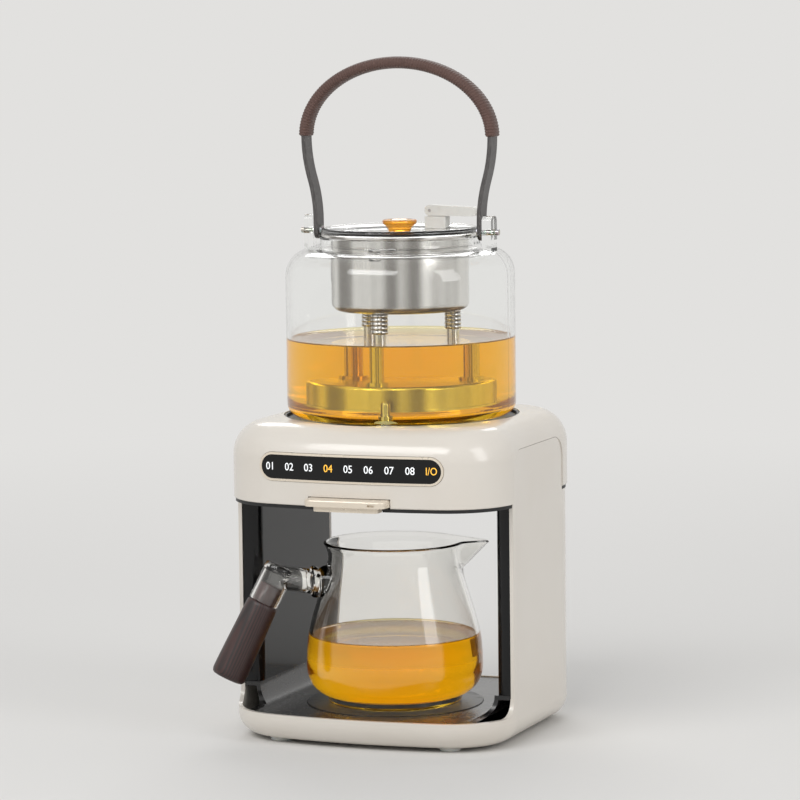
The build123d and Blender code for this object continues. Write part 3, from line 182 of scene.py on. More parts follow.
def makeIvoryShell():
    s = {"colour": shade(226, 220, 211), "shadow": shade(223, 216, 206), "rough": 0.16, "grain": 0.35}
    f = Finish("ivoryShell", Coat_Weight=0.4, Coat_Roughness=0.05, IOR=1.5)
    cloud = f.noise(60, detail=2)
    grain = f.noise(s["grain"], detail=1)
    f.feed(Base_Color=f.blend(f.ramp(cloud, 0.3, 0.7), s["colour"], s["shadow"]),
           Roughness=s["rough"] + cloud * 0.05 + grain * 0.04)
    f.bump(grain, 0.004)
    return f.material


def makeRubberFoot():
    # pale, slightly cloudy rubber
    f = Finish("rubberFoot", Specular_IOR_Level=0.3, Subsurface_Weight=0.15)
    grain = f.noise(0.6, detail=4)
    f.feed(Base_Color=f.blend(grain, shade(214, 211, 205), shade(192, 188, 181)), Roughness=0.6 + grain * 0.2)
    f.bump(grain, 0.04)
    return f.material


def makeLowerCover():
    # satin black moulding of the covers, the seat ring and the inlet
    f = Finish("lowerCover", Specular_IOR_Level=0.45)
    grain = f.noise(0.45, detail=3)
    f.feed(Base_Color=f.blend(f.noise(14), shade(20, 20, 21), shade(30, 30, 31)), Roughness=0.38 + grain * 0.18)
    f.bump(grain, 0.02)
    return f.material


def makeColumnGloss():
    f = Finish("columnGloss", Specular_IOR_Level=0.25, Coat_Weight=0.12, Coat_Roughness=0.03)
    cloud = f.noise(30, stretch=(1, 1, 3), detail=2)
    f.feed(Base_Color=f.blend(cloud, shade(12, 12, 13), shade(20, 20, 21)), Roughness=0.16 + cloud * 0.08)
    f.bump(f.noise(9), 0.01)
    return f.material


def makeTrayGloss():
    f = Finish("trayGloss", Coat_Weight=0.3, Coat_Roughness=0.1, IOR=1.5)
    cloud = f.noise(24, detail=3)
    speck = f.ramp(f.noise(1.1, detail=2), 0.66, 0.72)
    f.feed(Base_Color=f.blend(speck * 0.25, shade(22, 21, 21), shade(60, 58, 55)),
           Roughness=0.2 + cloud * 0.14 + speck * 0.15)
    f.bump(f.noise(0.5), 0.008)
    return f.material


def makeWarmPlateCoat():
    # coated plate with faint lathe rings round its own middle
    s = {"middle": (0, -16), "pitch": 1.4}
    f = Finish("warmPlateCoat", IOR=1.5)
    centred = f.add("VectorMath", {"operation": "SUBTRACT"}, {0: f.place(), 1: (s["middle"][0], s["middle"][1], 0)})
    flat = f.add("VectorMath", {"operation": "MULTIPLY"}, {0: centred, 1: (1, 1, 0)})
    radius = f.add("VectorMath", {"operation": "LENGTH"}, {0: flat}, out=1)
    rings = f.add("Math", {"operation": "SINE"}, {0: radius * (2 * math.pi / s["pitch"])})
    wear = f.ramp(f.noise(7, detail=4), 0.5, 0.75)
    f.feed(Base_Color=f.blend(wear, shade(26, 25, 25), shade(38, 37, 36)), Roughness=0.3 + wear * 0.15)
    f.bump(rings * 0.5 + f.noise(0.4) * 0.5, 0.012)
    return f.material


def makeHeaterMat():
    f = Finish("heaterMat")
    weave = f.add("TexVoronoi", {}, {"Vector": f.place(), "Scale": 0.7})
    f.feed(Base_Color=f.blend(weave, shade(150, 62, 30), shade(112, 44, 22)), Roughness=0.6 + weave * 0.2)
    f.bump(weave, 0.05)
    return f.material


def makeZincPlate():
    f = Finish("zincPlate", Metallic=1)
    spangle = f.add("TexVoronoi", {}, {"Vector": f.place(), "Scale": 0.35}, out=1)
    f.feed(Base_Color=f.blend(0.25, shade(190, 190, 186), spangle, mode="SOFT_LIGHT"),
           Roughness=0.22 + f.noise(3) * 0.2)
    f.bump(f.noise(0.5), 0.006)
    return f.material


def makeHotPlateCoat():
    f = Finish("hotPlateCoat", Metallic=0.6)
    flat = f.add("VectorMath", {"operation": "MULTIPLY"}, {0: f.place(), 1: (1, 1, 0)})
    radius = f.add("VectorMath", {"operation": "LENGTH"}, {0: flat}, out=1)
    rings = f.add("Math", {"operation": "SINE"}, {0: radius * 5.2})
    f.feed(Base_Color=f.blend(f.noise(9), shade(58, 57, 57), shade(80, 79, 77)), Roughness=0.32 + f.noise(2) * 0.14)
    f.bump(rings, 0.01)
    return f.material


def makeSensorBrass():
    f = Finish("sensorBrass", Metallic=1)
    tarnish = f.noise(2.5, detail=4)
    f.feed(Base_Color=f.blend(tarnish, shade(205, 176, 108), shade(150, 120, 70)), Roughness=0.25 + tarnish * 0.25)
    f.bump(tarnish, 0.01)
    return f.material


def makePanelLens():
    f = Finish("panelLens", Specular_IOR_Level=0.25, Coat_Weight=0.15, Coat_Roughness=0.02)
    haze = f.noise(12, detail=3)
    f.feed(Base_Color=f.blend(haze, shade(9, 9, 10), shade(14, 14, 15)), Roughness=0.1 + haze * 0.05)
    f.bump(f.noise(16), 0.008)
    return f.material


def makeChampagneTrim():
    f = Finish("champagneTrim", Coat_Weight=0.25, Coat_Roughness=0.08, IOR=1.5)
    flake = f.noise(0.18, detail=2)
    cloud = f.noise(10)
    f.feed(Base_Color=f.blend(flake, shade(222, 208, 188), shade(240, 230, 214)),
           Metallic=0.18 + flake * 0.25, Roughness=0.24 + cloud * 0.1)
    f.bump(flake, 0.004)
    return f.material


def makeBoardLaminate():
    f = Finish("boardLaminate", IOR=1.5)
    tracks = f.add("TexBrick", {}, {"Vector": f.place(), "Scale": 0.35, "Color1": (0, 0, 0, 1), "Color2": (0, 0, 0, 1),
                                    "Mortar": (1, 1, 1, 1), "Mortar Size": 0.06})
    f.feed(Base_Color=f.blend(tracks, shade(18, 88, 48), shade(52, 128, 70)), Roughness=0.35 + f.noise(2) * 0.15)
    f.bump(tracks, 0.03)
    return f.material


def makeKeyFoam():
    f = Finish("keyFoam")
    cell = f.add("TexVoronoi", {}, {"Vector": f.place(), "Scale": 2.2})
    f.feed(Base_Color=f.blend(cell, shade(44, 44, 45), shade(74, 73, 72)), Roughness=0.8 + cell * 0.15)
    f.bump(cell, 0.15)
    return f.material


def makeHarnessSleeve():
    f = Finish("harnessSleeve")
    braid = f.add("TexVoronoi", {"feature": "DISTANCE_TO_EDGE"}, {"Vector": f.place(), "Scale": 1.3})
    f.feed(Base_Color=f.blend(f.ramp(braid, 0.0, 0.2), shade(28, 28, 29), shade(66, 65, 64)),
           Roughness=0.55 + braid * 0.2)
    f.bump(braid, 0.1)
    return f.material


def makeMilkySilicone():
    f = Finish("milkySilicone", Transmission_Weight=0.35, IOR=1.41, Subsurface_Weight=0.2)
    cloud = f.noise(3)
    f.feed(Base_Color=f.blend(cloud, shade(226, 225, 220), shade(206, 205, 199)), Roughness=0.35 + cloud * 0.15)
    f.bump(cloud, 0.02)
    return f.material


def makeClearGlass(name, tint, waves):
    # waves is the depth in millimetres of the slow swell that blown glass has
    f = Finish(name, Transmission_Weight=1, IOR=1.46)
    smear = f.ramp(f.noise(22, detail=4), 0.5, 0.8)
    f.feed(Base_Color=f.blend(smear, tint, tuple(0.985 * c for c in tint[:3]) + (1,)), Roughness=smear * 0.025)
    f.bump(f.noise(26), waves)
    return f.material


def makeTea(name, tint, absorbed, density):
    # the faint glow stands for the light that tea scatters inside
    f = Finish(name, Transmission_Weight=1, IOR=1.333, Specular_IOR_Level=0.3, Emission_Strength=0.04)
    swirl = f.noise(30, detail=2)
    f.feed(Base_Color=f.blend(swirl, tint, tuple(0.97 * c for c in tint[:3]) + (1,)), Roughness=swirl * 0.01,
           Emission_Color=f.blend(swirl, (1, 0.5, 0.01, 1), (0.9, 0.42, 0.01, 1)))
    f.bump(f.noise(18), 0.02)
    f.absorb(absorbed, density)
    return f.material


def makeBrushedSteel(name, grainAlong, rough):
    # fine scratches, long in one direction, over broad upright light and dark bands that are a painted reflection, set
    # by the way the surface faces
    f = Finish(name, Metallic=1, Anisotropic=0.35)
    scratch = f.noise(0.22, stretch=grainAlong, detail=2)
    cloud = f.noise(16, detail=3)
    # painted reflection: the colour turns light or dark in broad upright bands by the way the surface faces
    facing = f.add("VectorMath", {"operation": "MULTIPLY"}, {0: f.add("NewGeometry", out=1), 1: (1, 1, 0)})
    paintedReflectionBand = f.ramp(f.noise(0.42, detail=1, at=facing), 0.38, 0.62)
    steel = f.blend(paintedReflectionBand, shade(238, 236, 232), shade(128, 124, 119))
    f.feed(Base_Color=f.blend(f.ramp(scratch, 0.3, 0.75) * 0.3, steel, shade(176, 173, 168)),
           Roughness=rough + scratch * 0.1 + cloud * 0.06)
    f.bump(scratch, 0.006)
    return f.material


def makeBailEnamel():
    f = Finish("bailEnamel", Metallic=0.75)
    scratch = f.noise(0.3, stretch=(1, 1, 14), detail=2)
    cloud = f.noise(12, detail=3)
    f.feed(Base_Color=f.blend(f.ramp(scratch, 0.35, 0.7), shade(84, 82, 82), shade(112, 109, 108)),
           Roughness=0.3 + scratch * 0.1 + cloud * 0.08)
    f.bump(scratch, 0.008)
    return f.material


def makeGripCord():
    # wound cord: dull, fibrous, a little worn on the crowns
    f = Finish("gripCord", Sheen_Weight=0.35, Sheen_Roughness=0.4)
    fibre = f.noise(0.25, stretch=(3, 3, 0.6), detail=3)
    patch = f.noise(9, detail=3)
    worn = f.blend(patch, shade(92, 66, 58), shade(116, 88, 80))
    f.feed(Base_Color=f.blend(f.ramp(fibre, 0.3, 0.7), worn, shade(74, 52, 46)), Roughness=0.55 + fibre * 0.25)
    f.bump(fibre, 0.08)
    return f.material


def makeAmberGlass():
    f = Finish("amberGlass", Transmission_Weight=0.85, IOR=1.52)
    swirl = f.noise(5, detail=2)
    f.feed(Base_Color=f.blend(swirl, shade(255, 206, 92), shade(246, 176, 52)), Roughness=0.03 + swirl * 0.03)
    f.bump(f.noise(4), 0.03)
    f.absorb(shade(255, 214, 90), 30)
    return f.material


def makeWhiteMoulding():
    f = Finish("whiteMoulding", IOR=1.5)
    cloud = f.noise(5)
    grain = f.noise(0.3)
    f.feed(Base_Color=f.blend(cloud, shade(232, 231, 226), shade(220, 218, 212)), Roughness=0.3 + grain * 0.1)
    f.bump(grain, 0.008)
    return f.material


def makeDarkWood(along):
    # along is the direction of the handle, for the grain
    s = {"light": shade(60, 33, 30), "dark": shade(30, 18, 17)}
    f = Finish("darkWood", Coat_Weight=0.25, Coat_Roughness=0.25)
    point = f.place()
    turn = Vector(along).rotation_difference(Vector((0, 0, 1))).to_euler()
    turned = f.add("VectorRotate", {"rotation_type": "EULER_XYZ"}, {"Vector": point, "Rotation": tuple(turn)})
    drawn = f.add("VectorMath", {"operation": "MULTIPLY"}, {0: turned, 1: (1, 1, 0.09)})
    bend = f.noise(5, at=drawn, detail=2)
    rings = f.add("TexWave", {"wave_type": "BANDS", "bands_direction": "X"},
                  {"Vector": drawn, "Scale": 0.28, "Distortion": 3.5, "Detail": 2.0, "Detail Scale": 0.6})
    pores = f.noise(0.35, at=f.add("VectorMath", {"operation": "MULTIPLY"}, {0: turned, 1: (1, 1, 0.05)}), detail=2)
    grain = f.blend(f.ramp(rings * 0.6 + bend * 0.4, 0.2, 0.8), s["dark"], s["light"])
    f.feed(Base_Color=f.blend(f.ramp(pores, 0.58, 0.7) * 0.6, grain, shade(24, 14, 13)),
           Roughness=0.42 + pores * 0.2)
    f.bump(pores * 0.7 + rings * 0.3, 0.05)
    return f.material


def makeKeyGlow(name, colour):
    f = Finish(name, Emission_Strength=1.0)
    haze = f.noise(2)
    f.feed(Base_Color=f.blend(haze, colour, tuple(0.8 * c for c in colour[:3]) + (1,)),
           Emission_Color=f.blend(haze, tuple(0.7 * c for c in colour[:3]) + (1,),
                                  tuple(0.6 * c for c in colour[:3]) + (1,)),
           Roughness=0.4 + haze * 0.1)
    return f.material


handleBearing = math.radians(214.8)
gripLean = math.radians(27)
gripAlong = (math.sin(gripLean) * math.cos(handleBearing), math.sin(gripLean) * math.sin(handleBearing),
             -math.cos(gripLean))

ivoryShell = makeIvoryShell()
rubberFoot = makeRubberFoot()
lowerCover = makeLowerCover()
columnGloss = makeColumnGloss()
trayGloss = makeTrayGloss()
warmPlateCoat = makeWarmPlateCoat()
heaterMat = makeHeaterMat()
zincPlate = makeZincPlate()
hotPlateCoat = makeHotPlateCoat()
sensorBrass = makeSensorBrass()
panelLens = makePanelLens()
champagneTrim = makeChampagneTrim()
boardLaminate = makeBoardLaminate()
keyFoam = makeKeyFoam()
harnessSleeve = makeHarnessSleeve()
milkySilicone = makeMilkySilicone()
kettleGlass = makeClearGlass("kettleGlass", (0.99, 0.995, 0.99, 1), 0.015)
lidGlass = makeClearGlass("lidGlass", (0.985, 0.995, 0.99, 1), 0.02)
jugGlass = makeClearGlass("jugGlass", (0.99, 0.985, 0.965, 1), 0.05)
steelUpright = makeBrushedSteel("steelUpright", (1, 1, 26), 0.16)
steelRound = makeBrushedSteel("steelRound", (14, 14, 1), 0.14)
bailEnamel = makeBailEnamel()
gripCord = makeGripCord()
amberGlass = makeAmberGlass()
whiteMoulding = makeWhiteMoulding()
darkWood = makeDarkWood(gripAlong)
kettleTea = makeTea("kettleTea", (1.0, 0.95, 0.6, 1), (0.995, 0.86, 0.01, 1), 46)
jugTea = makeTea("jugTea", (1.0, 0.95, 0.6, 1), (0.995, 0.85, 0.01, 1), 56)
whiteGlow = makeKeyGlow("whiteGlow", shade(235, 238, 240))
amberGlow = makeKeyGlow("amberGlow", shade(250, 190, 70))

nodeFinishes = {
    "base_shell": ivoryShell, "leg_skin_left": ivoryShell, "leg_skin_right": ivoryShell, "head_shell": ivoryShell,
    "feet": rubberFoot, "bottom_cover": lowerCover, "head_floor": lowerCover, "seat_ring": lowerCover,
    "drain_cup": lowerCover, "power_inlet": lowerCover, "cover_screws": zincPlate, "head_screws": zincPlate,
    "tray": trayGloss, "warming_plate": warmPlateCoat, "warming_heater": heaterMat,
    "leg_column_left": columnGloss, "leg_column_right": columnGloss, "hot_plate": hotPlateCoat,
    "heating_element": zincPlate, "temperature_sensor": sensorBrass, "plate_bridge": zincPlate,
    "touch_panel": panelLens, "panel_bezel": champagneTrim, "release_tab": champagneTrim,
    "control_board": boardLaminate, "power_board": boardLaminate, "touch_foams": keyFoam,
    "wiring_harness": harnessSleeve, "lifter_spring": zincPlate, "valve_lifter": whiteMoulding,
    "kettle_glass": kettleGlass, "kettle_lugs": kettleGlass, "valve_seat": milkySilicone, "bail_pins": zincPlate,
    "valve_poppet": steelUpright, "bail_strap": bailEnamel, "bail_grip": gripCord, "basket": steelUpright,
    "hood": steelUpright, "riser_tubes": steelUpright, "riser_ferrules": steelRound, "spray_caps": steelUpright,
    "lid_glass": lidGlass, "lid_knob": amberGlass, "fill_port": whiteMoulding, "flip_lever": whiteMoulding,
    "lever_pin": zincPlate, "jug_glass": jugGlass, "jug_handle": darkWood,
}


def paint(obj, material):
    if obj.data.materials:
        for place in range(len(obj.data.materials)):
            obj.data.materials[place] = material
    else:
        obj.data.materials.append(material)


for name, material in nodeFinishes.items():
    if name in nodes:
        paint(nodes[name], material)
print("finishes made:", len(bpy.data.materials))


# ---- mesh helpers ----

def pieceFrom(name, points, faces, material, body, standsFor=(), sharp=35):
    mesh = bpy.data.meshes.new(name)
    mesh.from_pydata([tuple(mm * c for c in p) for p in points], [], faces)
    obj = bpy.data.objects.new(name, mesh)
    bpy.context.scene.collection.objects.link(obj)
    return settle(obj, material, body, standsFor, sharp)


def settle(obj, material, body, standsFor=(), sharp=35):
    # clean normals, smooth shading with crisp edges, then its finish and its place in the frame
    form = bmesh.new()
    form.from_mesh(obj.data)
    bmesh.ops.remove_doubles(form, verts=form.verts, dist=1e-7)
    bmesh.ops.recalc_face_normals(form, faces=form.faces)
    for face in form.faces:
        face.smooth = True
    for edge in form.edges:
        if len(edge.link_faces) == 2 and edge.calc_face_angle(0) > math.radians(sharp):
            edge.smooth = False
    form.to_mesh(obj.data)
    form.free()
    paint(obj, material)
    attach(obj, body)
    if standsFor:
        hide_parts(*standsFor)
    return obj


def lathe(outline, steps, centre=(0, 0), angles=None, shape=None):
    # points and faces of an outline of (radius, height) turned about an upright axis; ends on the axis are closed;
    # shape, where given, moves each (radius, height) by its angle
    points, faces, rings = [], [], []
    for radius, height in outline:
        if radius < 1e-6:
            rings.append([len(points)])
            points.append((centre[0], centre[1], height))
        else:
            rings.append(range(len(points), len(points) + steps))
            for k in range(steps):
                angle = angles[k] if angles else 2 * math.pi * k / steps
                wide, high = shape(radius, height, angle) if shape else (radius, height)
                points.append((centre[0] + wide * math.cos(angle), centre[1] + wide * math.sin(angle), high))
    closed = outline[0][0] > 1e-6
    for low, high in zip(rings, rings[1:] + ([rings[0]] if closed else [])):
        for k in range(steps):
            n = (k + 1) % steps
            if len(low) == 1 and len(high) > 1:
                faces.append((low[0], high[k], high[n]))
            elif len(high) == 1 and len(low) > 1:
                faces.append((low[k], high[0], low[n]))
            elif len(low) > 1:
                faces.append((low[k], low[n], high[n], high[k]))
    return points, faces


def bend(centre, radius, start, sweep, steps=8):
    # points of an arc, angles in degrees
    return [(centre[0] + radius * math.cos(math.radians(start + sweep * k / steps)),
             centre[1] + radius * math.sin(math.radians(start + sweep * k / steps))) for k in range(steps + 1)]


# ---- tea ----

teaSettings = {"overlap": 0.2, "kettleLevel": 231.5, "jugLevel": 57.5, "creep": 1.1,
               "kettleFloor": 188.6, "kettleInner": 65.1, "kettleHeel": 5.1}


def addTea(name, wall, level, material, body, centre):
    # wall is the vessel's inside from the middle of its floor up; the tea reaches a little into the glass
    s = teaSettings
    side = [(radius + s["overlap"] if radius > 0 else 0, height - (s["overlap"] if height == wall[0][1] else 0))
            for radius, height in wall if height < level - 0.5]
    low, high = next((a, b) for a, b in zip(wall, wall[1:]) if a[1] <= level <= b[1])
    share = (level - low[1]) / (high[1] - low[1])
    edge = low[0] + (high[0] - low[0]) * share + s["overlap"]
    rim = [(edge, level), (edge, level + s["creep"]), (edge - 0.45, level + 0.75 * s["creep"]),
           (edge - 1.0, level + 0.35 * s["creep"]), (edge - 1.9, level + 0.1 * s["creep"]), (edge - 3.2, level)]
    points, faces = lathe(side + rim + [(0, level)], 160, centre)
    return pieceFrom(name, points, faces, material, body, sharp=50)


def kettleWall(s):
    heel = bend((s["kettleInner"] - s["kettleHeel"], s["kettleFloor"] + s["kettleHeel"]), s["kettleHeel"], -90, 90)
    return [(0, s["kettleFloor"])] + heel + [(s["kettleInner"], height) for height in (200, 215, 230, 245)]


addTea("kettleTea", kettleWall(teaSettings), teaSettings["kettleLevel"], kettleTea, "kettle", (0, 0))


# ---- jug ----

jugSettings = {
    "centre": (0, -16), "base": 18.1, "wall": 2.2, "floor": 5.2, "steps": 144,
    "underside": [(0, 1.6), (35.4, 1.6), (36.1, 1.2), (36.5, 0.4), (37.1, 0), (38.3, 0), (39.2, 0.5), (39.7, 1.4),
                  (39.6, 3.0)],
    "side": [(39.9, 4.2), (44, 6), (48.9, 10.5), (51.6, 17), (52, 24), (51.1, 38), (48.5, 50), (44.9, 62), (41, 75),
             (38.8, 85), (39.3, 90), (41.0, 93.6)],
    "lip": 1.35,
    "rim": 93.6, "spoutLow": (74, 39.9), "spoutTop": (94, 61.7),
    "spoutHalf": 27, "fold": 0.9, "tipRound": 0.05, "dip": 0.14,
}


def smoothLine(points, steps):
    # a curve through all the points
    ends = [points[0]] + list(points) + [points[-1]]
    line = []
    for a, b, c, d in zip(ends, ends[1:], ends[2:], ends[3:]):
        for k in range(steps):
            t = k / steps
            line.append(tuple(0.5 * (2 * q + (r - p) * t + (2 * p - 5 * q + 4 * r - u) * t * t
                                     + (3 * q - p - 3 * r + u) * t ** 3) for p, q, r, u in zip(a, b, c, d)))
    return line + [tuple(points[-1])]


def offsetLine(line, depth):
    moved = []
    for k, point in enumerate(line):
        before, after = line[max(k - 1, 0)], line[min(k + 1, len(line) - 1)]
        run, rise = after[0] - before[0], after[1] - before[1]
        long = math.hypot(run, rise)
        moved.append((point[0] - depth * rise / long, point[1] + depth * run / long))
    return moved


spoutBearing = handleBearing - math.pi
jugOuter = smoothLine(jugSettings["side"], 4)
jugInner = offsetLine(jugOuter, jugSettings["wall"])
jugFloor = [(0, jugSettings["floor"]), (33, jugSettings["floor"]), (37.5, 5.4), (40.2, 6.0)]


def jugRadius(height):
    # the body's own outer radius, without the spout
    for (r1, h1), (r2, h2) in zip(jugOuter, jugOuter[1:]):
        if h1 <= height <= h2:
            return r1 + (r2 - r1) * (height - h1) / (h2 - h1)
    return jugOuter[-1][0] if height > jugOuter[-1][1] else jugOuter[0][0]


def spoutReach(height, turn):
    # how far the folded spout stands out beyond the body at this height and angle from its own bearing
    s = jugSettings
    (low, reachLow), (top, reachTop) = s["spoutLow"], s["spoutTop"]
    share = min((height - low) / (top - low), 1)
    if share <= 0 or abs(turn) > 1.2:
        return 0
    own = jugRadius(min(height, s["rim"]))
    tip = reachLow + (reachTop - reachLow) * share
    half = math.radians(s["spoutHalf"] * (0.45 + 0.55 * share))
    px, py = own * math.cos(half), own * math.sin(half)
    soft = math.sqrt(turn * turn + s["tipRound"] ** 2)
    line = tip * py / (py * math.cos(soft) + (tip - px) * math.sin(soft))
    rise = (line - own) / s["fold"]
    out = line - own if rise > 30 else s["fold"] * math.log(1 + math.exp(rise))
    # it starts gently below, and dies out past the fold on either side
    start = max(0, min(1, (tip - own) / 6))
    past = max(0, min(1, (abs(turn) - half) / (0.7 * half)))
    return out * start * start * (3 - 2 * start) * (1 - past * past * (3 - 2 * past))


def jugShape(radius, height, angle):
    s = jugSettings
    turn = (angle - spoutBearing + math.pi) % (2 * math.pi) - math.pi
    out = spoutReach(height, turn)
    if out < 0.01:
        return radius, height + s["base"]
    own = jugRadius(min(height, s["rim"]))
    inside = max(0, min(1, (own - radius) / s["wall"]))
    slope = (spoutReach(height, turn + 0.01) - spoutReach(height, turn - 0.01)) / 0.02 / (own + out)
    steep = min(math.sqrt(1 + slope * slope) - 1, 1.3)
    return radius + out - inside * s["wall"] * steep, height - s["dip"] * out + s["base"]


def addJug(s):
    top = jugOuter[-1]
    away = (top[0] - s["lip"] * 0.8, top[1] + 0.1)
    lip = bend(away, s["lip"], 10, 165, 7)
    inner = [p for p in reversed(jugInner) if p[1] < top[1] - 0.6 and p[1] > s["floor"] + 1.4]
    outline = s["underside"] + jugOuter[:-1] + lip + inner + jugFloor[::-1]
    angles = []
    for k in range(s["steps"]):
        u = 2 * k / s["steps"] - 1
        angles.append(spoutBearing + math.pi * (0.35 * u + 0.65 * u ** 3))
    points, faces = lathe(outline, s["steps"], s["centre"], angles, jugShape)
    return pieceFrom("jugBody", points, faces, jugGlass, "jug", ("jug_glass",), sharp=60)


armSettings = {
    # along the arm: reach from the jug's middle, radius; the axis climbs from the wall to the elbow
    "low": 71.5, "high": 76.5, "from": 41, "to": 70, "steps": 40,
    "outer": [(42.6, 9.9), (44.2, 8.7), (45.4, 8.3), (46.0, 9.0), (47.0, 9.4), (48.6, 9.4), (49.5, 9.0), (50.1, 7.8),
              (52, 7.35), (58, 7.2), (66, 7.25), (72, 7.3)],
    "bore": [(46.5, 0), (46.6, 4.6), (48.5, 5.8), (58, 5.7), (72, 5.7)],
    "socketLift": 4.0, "socketTop": (67.82, 79.24),
    "socket": [(0, 0), (6.4, 0), (8.3, 0.5), (9.1, 1.9), (9.3, 3.6), (9.1, 12), (9.1, 22.8), (8.8, 24), (0, 24)],
    "socketBore": [(0, 3.4), (5.6, 3.6), (7.15, 5.4), (7.15, 25.5), (0, 25.5)],
    "wood": [(0, 12.6), (6.4, 12.6), (6.9, 13.1), (6.9, 24.2), (8.6, 24.2), (9.2, 24.9), (9.5, 26.8), (9.8, 40),
             (10.2, 55), (10.4, 68), (10.3, 70.4), (9.7, 72.1), (8.6, 72.9), (7, 73.2), (0, 73.3)],
}


def armPoint(reach, side, height):
    # from the arm's own plane to the jug's place
    c, d = math.cos(handleBearing), math.sin(handleBearing)
    x, y = jugSettings["centre"]
    return (x + reach * c - side * d, y + reach * d + side * c, height + jugSettings["base"])


def armTube(s, line, steps, root):
    points, faces = [], []
    for k, (reach, radius) in enumerate(line):
        centre = s["low"] + (s["high"] - s["low"]) * (reach - s["from"]) / (s["to"] - s["from"])
        for n in range(steps):
            angle = 2 * math.pi * n / steps
            side, height = max(radius, 0.02) * math.cos(angle), centre + max(radius, 0.02) * math.sin(angle)
            at = reach
            if root and k == 0:
                at = math.sqrt((jugRadius(height) - 1.1) ** 2 - side ** 2)
            points.append(armPoint(at, side, height))
    rows = len(line)
    for k in range(rows - 1):
        for n in range(steps):
            m = (n + 1) % steps
            faces.append((k * steps + n, k * steps + m, (k + 1) * steps + m, (k + 1) * steps + n))
    for ring in (0, rows - 1):
        first = [ring * steps + n for n in range(steps)]
        middle = [sum(points[i][c] for i in first) / steps for c in range(3)]
        points.append(tuple(middle))
        faces += [(first[n], first[(n + 1) % steps], len(points) - 1) for n in range(steps)]
    return points, faces


def alongGrip(s, line, steps):
    # a turned piece on the leaning axis of socket and grip
    points, faces = lathe(line, steps)
    out = math.sin(gripLean)
    down = math.cos(gripLean)
    start = s["socketTop"]
    placed = []
    for u, v, along in points:
        height = start[1] + s["socketLift"] - along * down + u * out
        placed.append(armPoint(start[0] + along * out + u * down, v, height))
    return placed, faces


def rawMesh(name, points, faces):
    mesh = bpy.data.meshes.new(name)
    mesh.from_pydata([tuple(mm * c for c in p) for p in points], [], faces)
    form = bmesh.new()
    form.from_mesh(mesh)
    bmesh.ops.remove_doubles(form, verts=form.verts, dist=1e-7)
    bmesh.ops.recalc_face_normals(form, faces=form.faces)
    form.to_mesh(mesh)
    form.free()
    obj = bpy.data.objects.new(name, mesh)
    bpy.context.scene.collection.objects.link(obj)
    return obj


def cutOrJoin(target, tools):
    # applies each (operation, points, faces) to the target's mesh
    for operation, (points, faces) in tools:
        other = rawMesh("tool", points, faces)
        step = target.modifiers.new("step", "BOOLEAN")
        step.operation, step.solver, step.object = operation, "EXACT", other
        shaped = bpy.data.meshes.new_from_object(target.evaluated_get(bpy.context.evaluated_depsgraph_get()))
        target.modifiers.clear()
        target.data = shaped
        bpy.data.objects.remove(other)


def crease(obj, sharp):
    # smooth shading with crisp edges, after the cuts
    form = bmesh.new()
    form.from_mesh(obj.data)
    print("jug edges that aren't shared by two faces:", sum(len(edge.link_faces) != 2 for edge in form.edges))
    for face in form.faces:
        face.smooth = True
    for edge in form.edges:
        edge.smooth = not (len(edge.link_faces) == 2 and edge.calc_face_angle(0) > math.radians(sharp))
    form.to_mesh(obj.data)
    form.free()


jugBody = addJug(jugSettings)
arm = armSettings
bpy.context.view_layer.update()
cutOrJoin(jugBody, [("UNION", armTube(arm, [(41, 11.2)] + arm["outer"], arm["steps"], True)),
                    ("UNION", alongGrip(arm, arm["socket"], 48)),
                    ("DIFFERENCE", armTube(arm, arm["bore"], arm["steps"], False)),
                    ("DIFFERENCE", alongGrip(arm, arm["socketBore"], 48))])
crease(jugBody, 40)
points, faces = alongGrip(arm, arm["wood"], 64)
pieceFrom("jugGrip", points, faces, darkWood, "jug", ("jug_handle",), sharp=50)
jugWall = jugFloor + [p for p in jugInner if jugSettings["floor"] + 1.4 < p[1] < 60]
addTea("jugTea", [(r, h + jugSettings["base"]) for r, h in jugWall], teaSettings["jugLevel"], jugTea, "jug",
       jugSettings["centre"])
print("jug made")


# ---- bail grip: cord wound round the top of the bail ----

windingSettings = {"across": 58.4, "rise": 43.0, "centre": 350.0, "half": (3.55, 6.45), "pitch": 1.7, "depth": 0.42,
                   "round": 28, "perTurn": 7}


